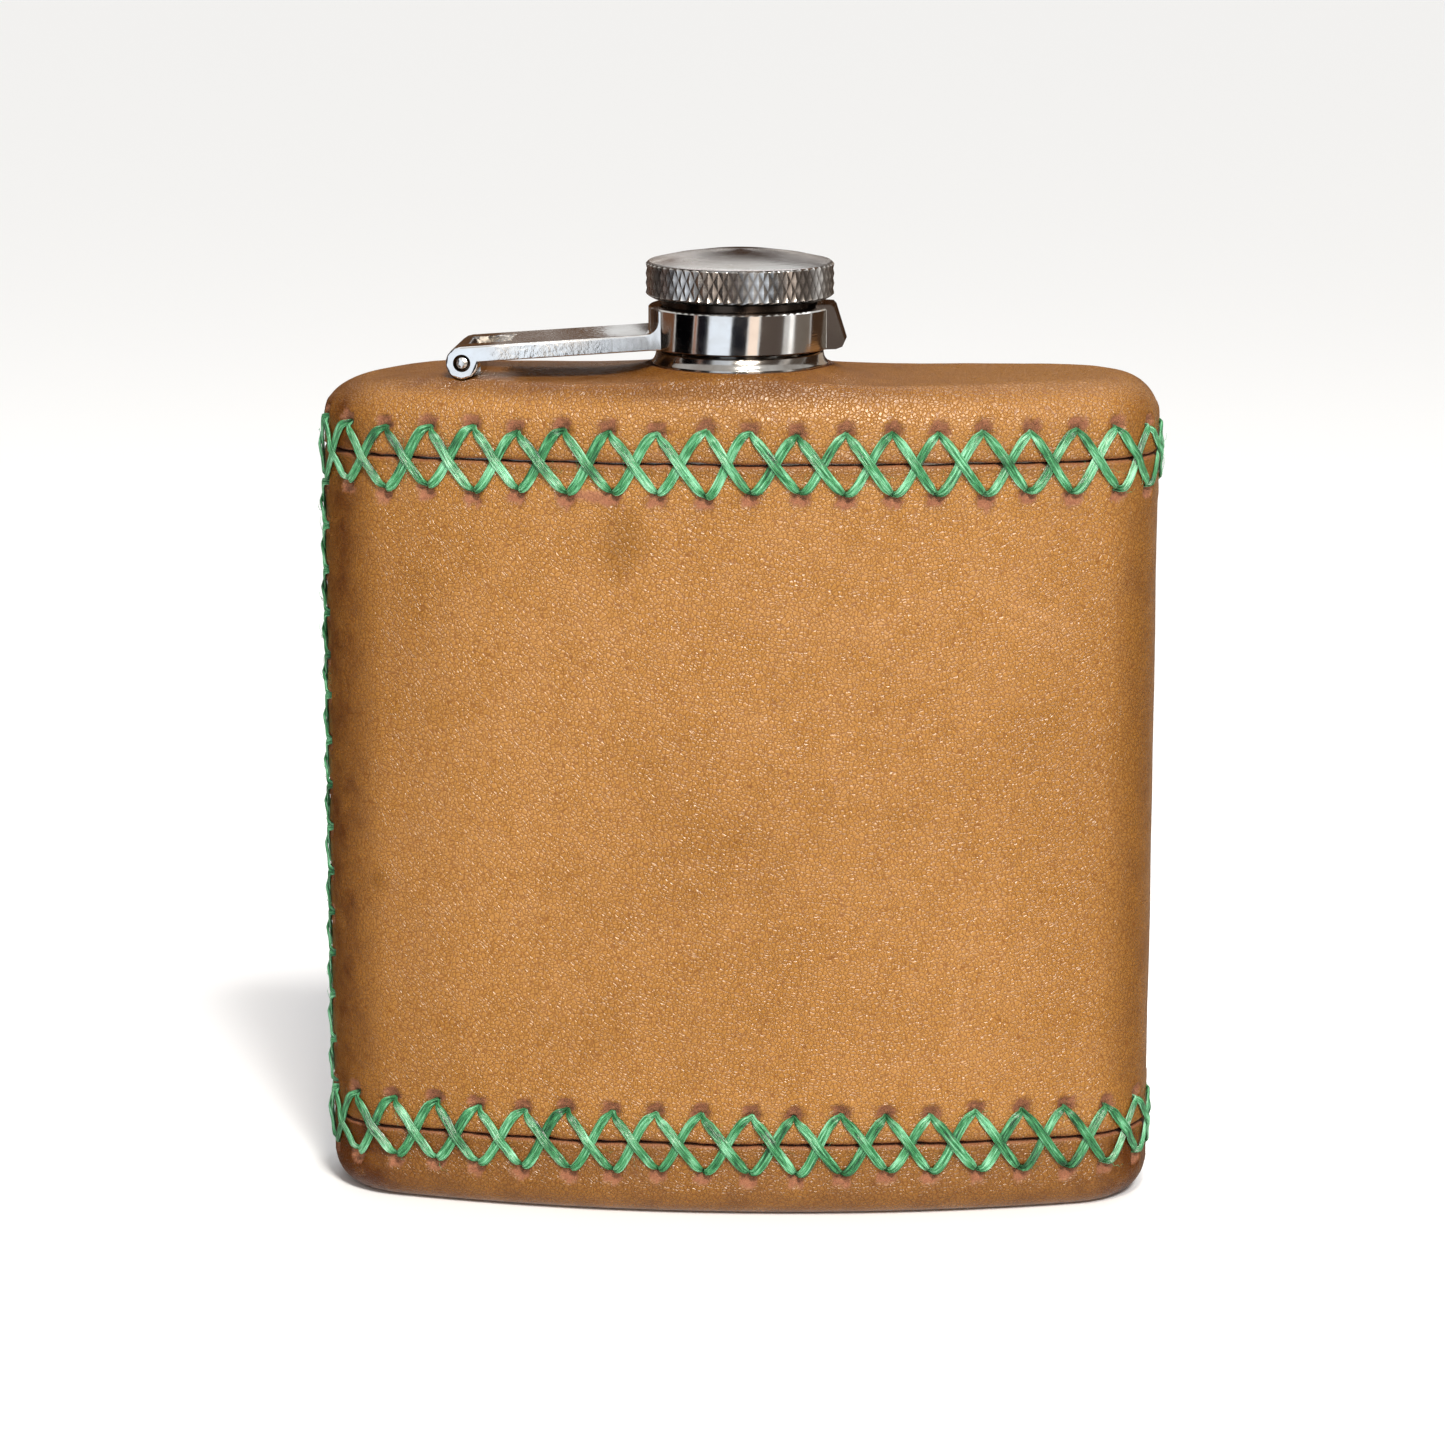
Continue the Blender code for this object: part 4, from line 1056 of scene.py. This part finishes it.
studio = {"floor": "#FBFAF8", "sky": "#FFFFFF", "skyLight": 0.42, "skyShine": 0.62}


def addFloor():
    bpy.ops.mesh.primitive_plane_add(size=8.0, location=(0, 0, 0))
    floor = bpy.context.object
    floor.name = "studio_floor"
    matte = {"Base Color": colour(studio["floor"]), "Roughness": 0.9}
    floor.data.materials.append(newMaterial("matte studio floor, pale", matte)[0])
    # kept out of reflections, or its white washes out the leather's narrow ends
    floor.visible_glossy = False


def addLight(name, place, target, size, power, tint):
    data = bpy.data.lights.new(name, "AREA")
    data.shape = "RECTANGLE"
    data.size, data.size_y = size
    data.energy = power
    data.color = colour(tint)[:3]
    lamp = addObject(name, data)
    lamp.location = place
    lamp.rotation_euler = (Vector(target) - Vector(place)).to_track_quat("-Z", "Y").to_euler()
    return lamp


def addSun(name, place, strength, softness):
    data = bpy.data.lights.new(name, "SUN")
    data.energy = strength
    data.angle = math.radians(softness)
    lamp = addObject(name, data)
    lamp.rotation_euler = (-Vector(place)).to_track_quat("-Z", "Y").to_euler()


view = {
    "lens": 119.9, "sensor": 36.0, "shift": (-0.0114, 0.0062), "roll": 0.13,
    "place": (0.02110, -0.54739, 0.16795), "forward": (-0.03786, 0.97852, -0.20264),
}


def addCamera():
    data = bpy.data.cameras.new("camera")
    data.lens = view["lens"]
    data.sensor_width = view["sensor"]
    data.shift_x, data.shift_y = view["shift"]
    camera = addObject("camera", data)
    forward = Vector(view["forward"]).normalized()
    roll = Matrix.Rotation(math.radians(view["roll"]), 3, "Z")
    camera.location = view["place"]
    camera.rotation_euler = (forward.to_track_quat("-Z", "Y").to_matrix() @ roll).to_euler()
    bpy.context.scene.camera = camera


def addWorld():
    # white seen straight on; softer as a light, so that the lamps still shape the flask
    world = bpy.data.worlds.new("studio")
    bpy.context.scene.world = world
    world.use_nodes = True
    tree = world.node_tree
    sky = tree.nodes["Background"]
    sky.inputs["Color"].default_value = colour(studio["sky"])
    rays = addNode(tree, "LightPath")
    glossy = rays.outputs["Is Glossy Ray"]
    shine = addNode(tree, "Math", {"operation": "MULTIPLY", 1: studio["skyShine"]}, {0: glossy})
    seen = addNode(tree, "Math", {"operation": "MAXIMUM"}, {0: rays.outputs["Is Camera Ray"], 1: shine})
    strength = addNode(tree, "MapRange", {"To Min": studio["skyLight"], "To Max": 1.0}, {"Value": seen})
    feed(tree, sky, {"Strength": strength})


# start and end angle from the front, to the right; colour; brightness.
# Only shine picks them up: they give the ring its bands and keep the leather's ends deep in colour
cards = [
    (-136, -112, "#4A3020", 0.45), (-110, -88, "#8A5F45", 0.7), (-86, -58, "#0C0B10", 0.2),
    (-57, -54, "#B4795A", 1.0), (-53, -38, "#1D1A26", 0.4), (-37, -9, "#DDE8F6", 1.6),
    (-8.5, 11, "#141B2C", 0.45), (13, 25, "#F3DFD0", 1.5), (27, 58, "#6F625B", 0.7),
    (66, 72, "#FFFFFF", 1.6), (74, 100, "#8B8178", 0.8), (102, 136, "#5E4634", 0.6),
    (137, 158, "#D8C4B0", 0.9), (159, 186, "#5A3A24", 0.4), (187, 206, "#8A6242", 0.5),
    (207, 224, "#6E5240", 0.5),
]


cardRing = {"reach": 0.40, "low": -0.25, "high": 0.30, "degreesPerStep": 4}


def addCards():
    reach = cardRing["reach"]
    for number, (start, end, tint, strength) in enumerate(cards):
        corners = []
        steps = max(2, int((end - start) / cardRing["degreesPerStep"]))
        for turn in np.radians(np.linspace(start, end, steps + 1)):
            for height in (cardRing["low"], cardRing["high"]):
                corners.append((reach * math.sin(turn), neckAxis.y - reach * math.cos(turn), height))
        faces = [(2 * i, 2 * i + 2, 2 * i + 3, 2 * i + 1) for i in range(steps)]
        mesh = bpy.data.meshes.new(f"reflector_{number + 1}")
        mesh.from_pydata(corners, [], faces)
        mesh.materials.append(newMaterial(f"reflector card {number + 1}", {
            "Base Color": colour("#000000"), "Specular IOR Level": 0.0,
            "Emission Color": colour(tint), "Emission Strength": strength,
        })[0])
        card = addObject(mesh.name, mesh)
        card.visible_camera = False
        card.visible_diffuse = False
        card.visible_shadow = False


addFloor()
addCards()
addSun("far softbox", (0.30, -0.75, 0.80), 2.2, 12)
addLight("key softbox", (0.067, -0.48, 0.66), (0.01, 0, 0.09), (0.10, 0.10), 2.6, "#FFF8EF")
addLight("top softbox", (0.05, 0.22, 0.50), (0, 0, 0.08), (0.50, 0.25), 1.0, "#F6F8FF")
glint = addLight("glint softbox", (0.12, -0.60, 0.28), (0.015, 0, 0.093), (0.22, 0.04), 8.5, "#FFF6EA")
# seen only in shine: it brings up the grain on the turn of the shoulder
glint.visible_diffuse = False
addWorld()
addCamera()
bpy.context.scene.view_settings.view_transform = "Standard"

print("scene ready")
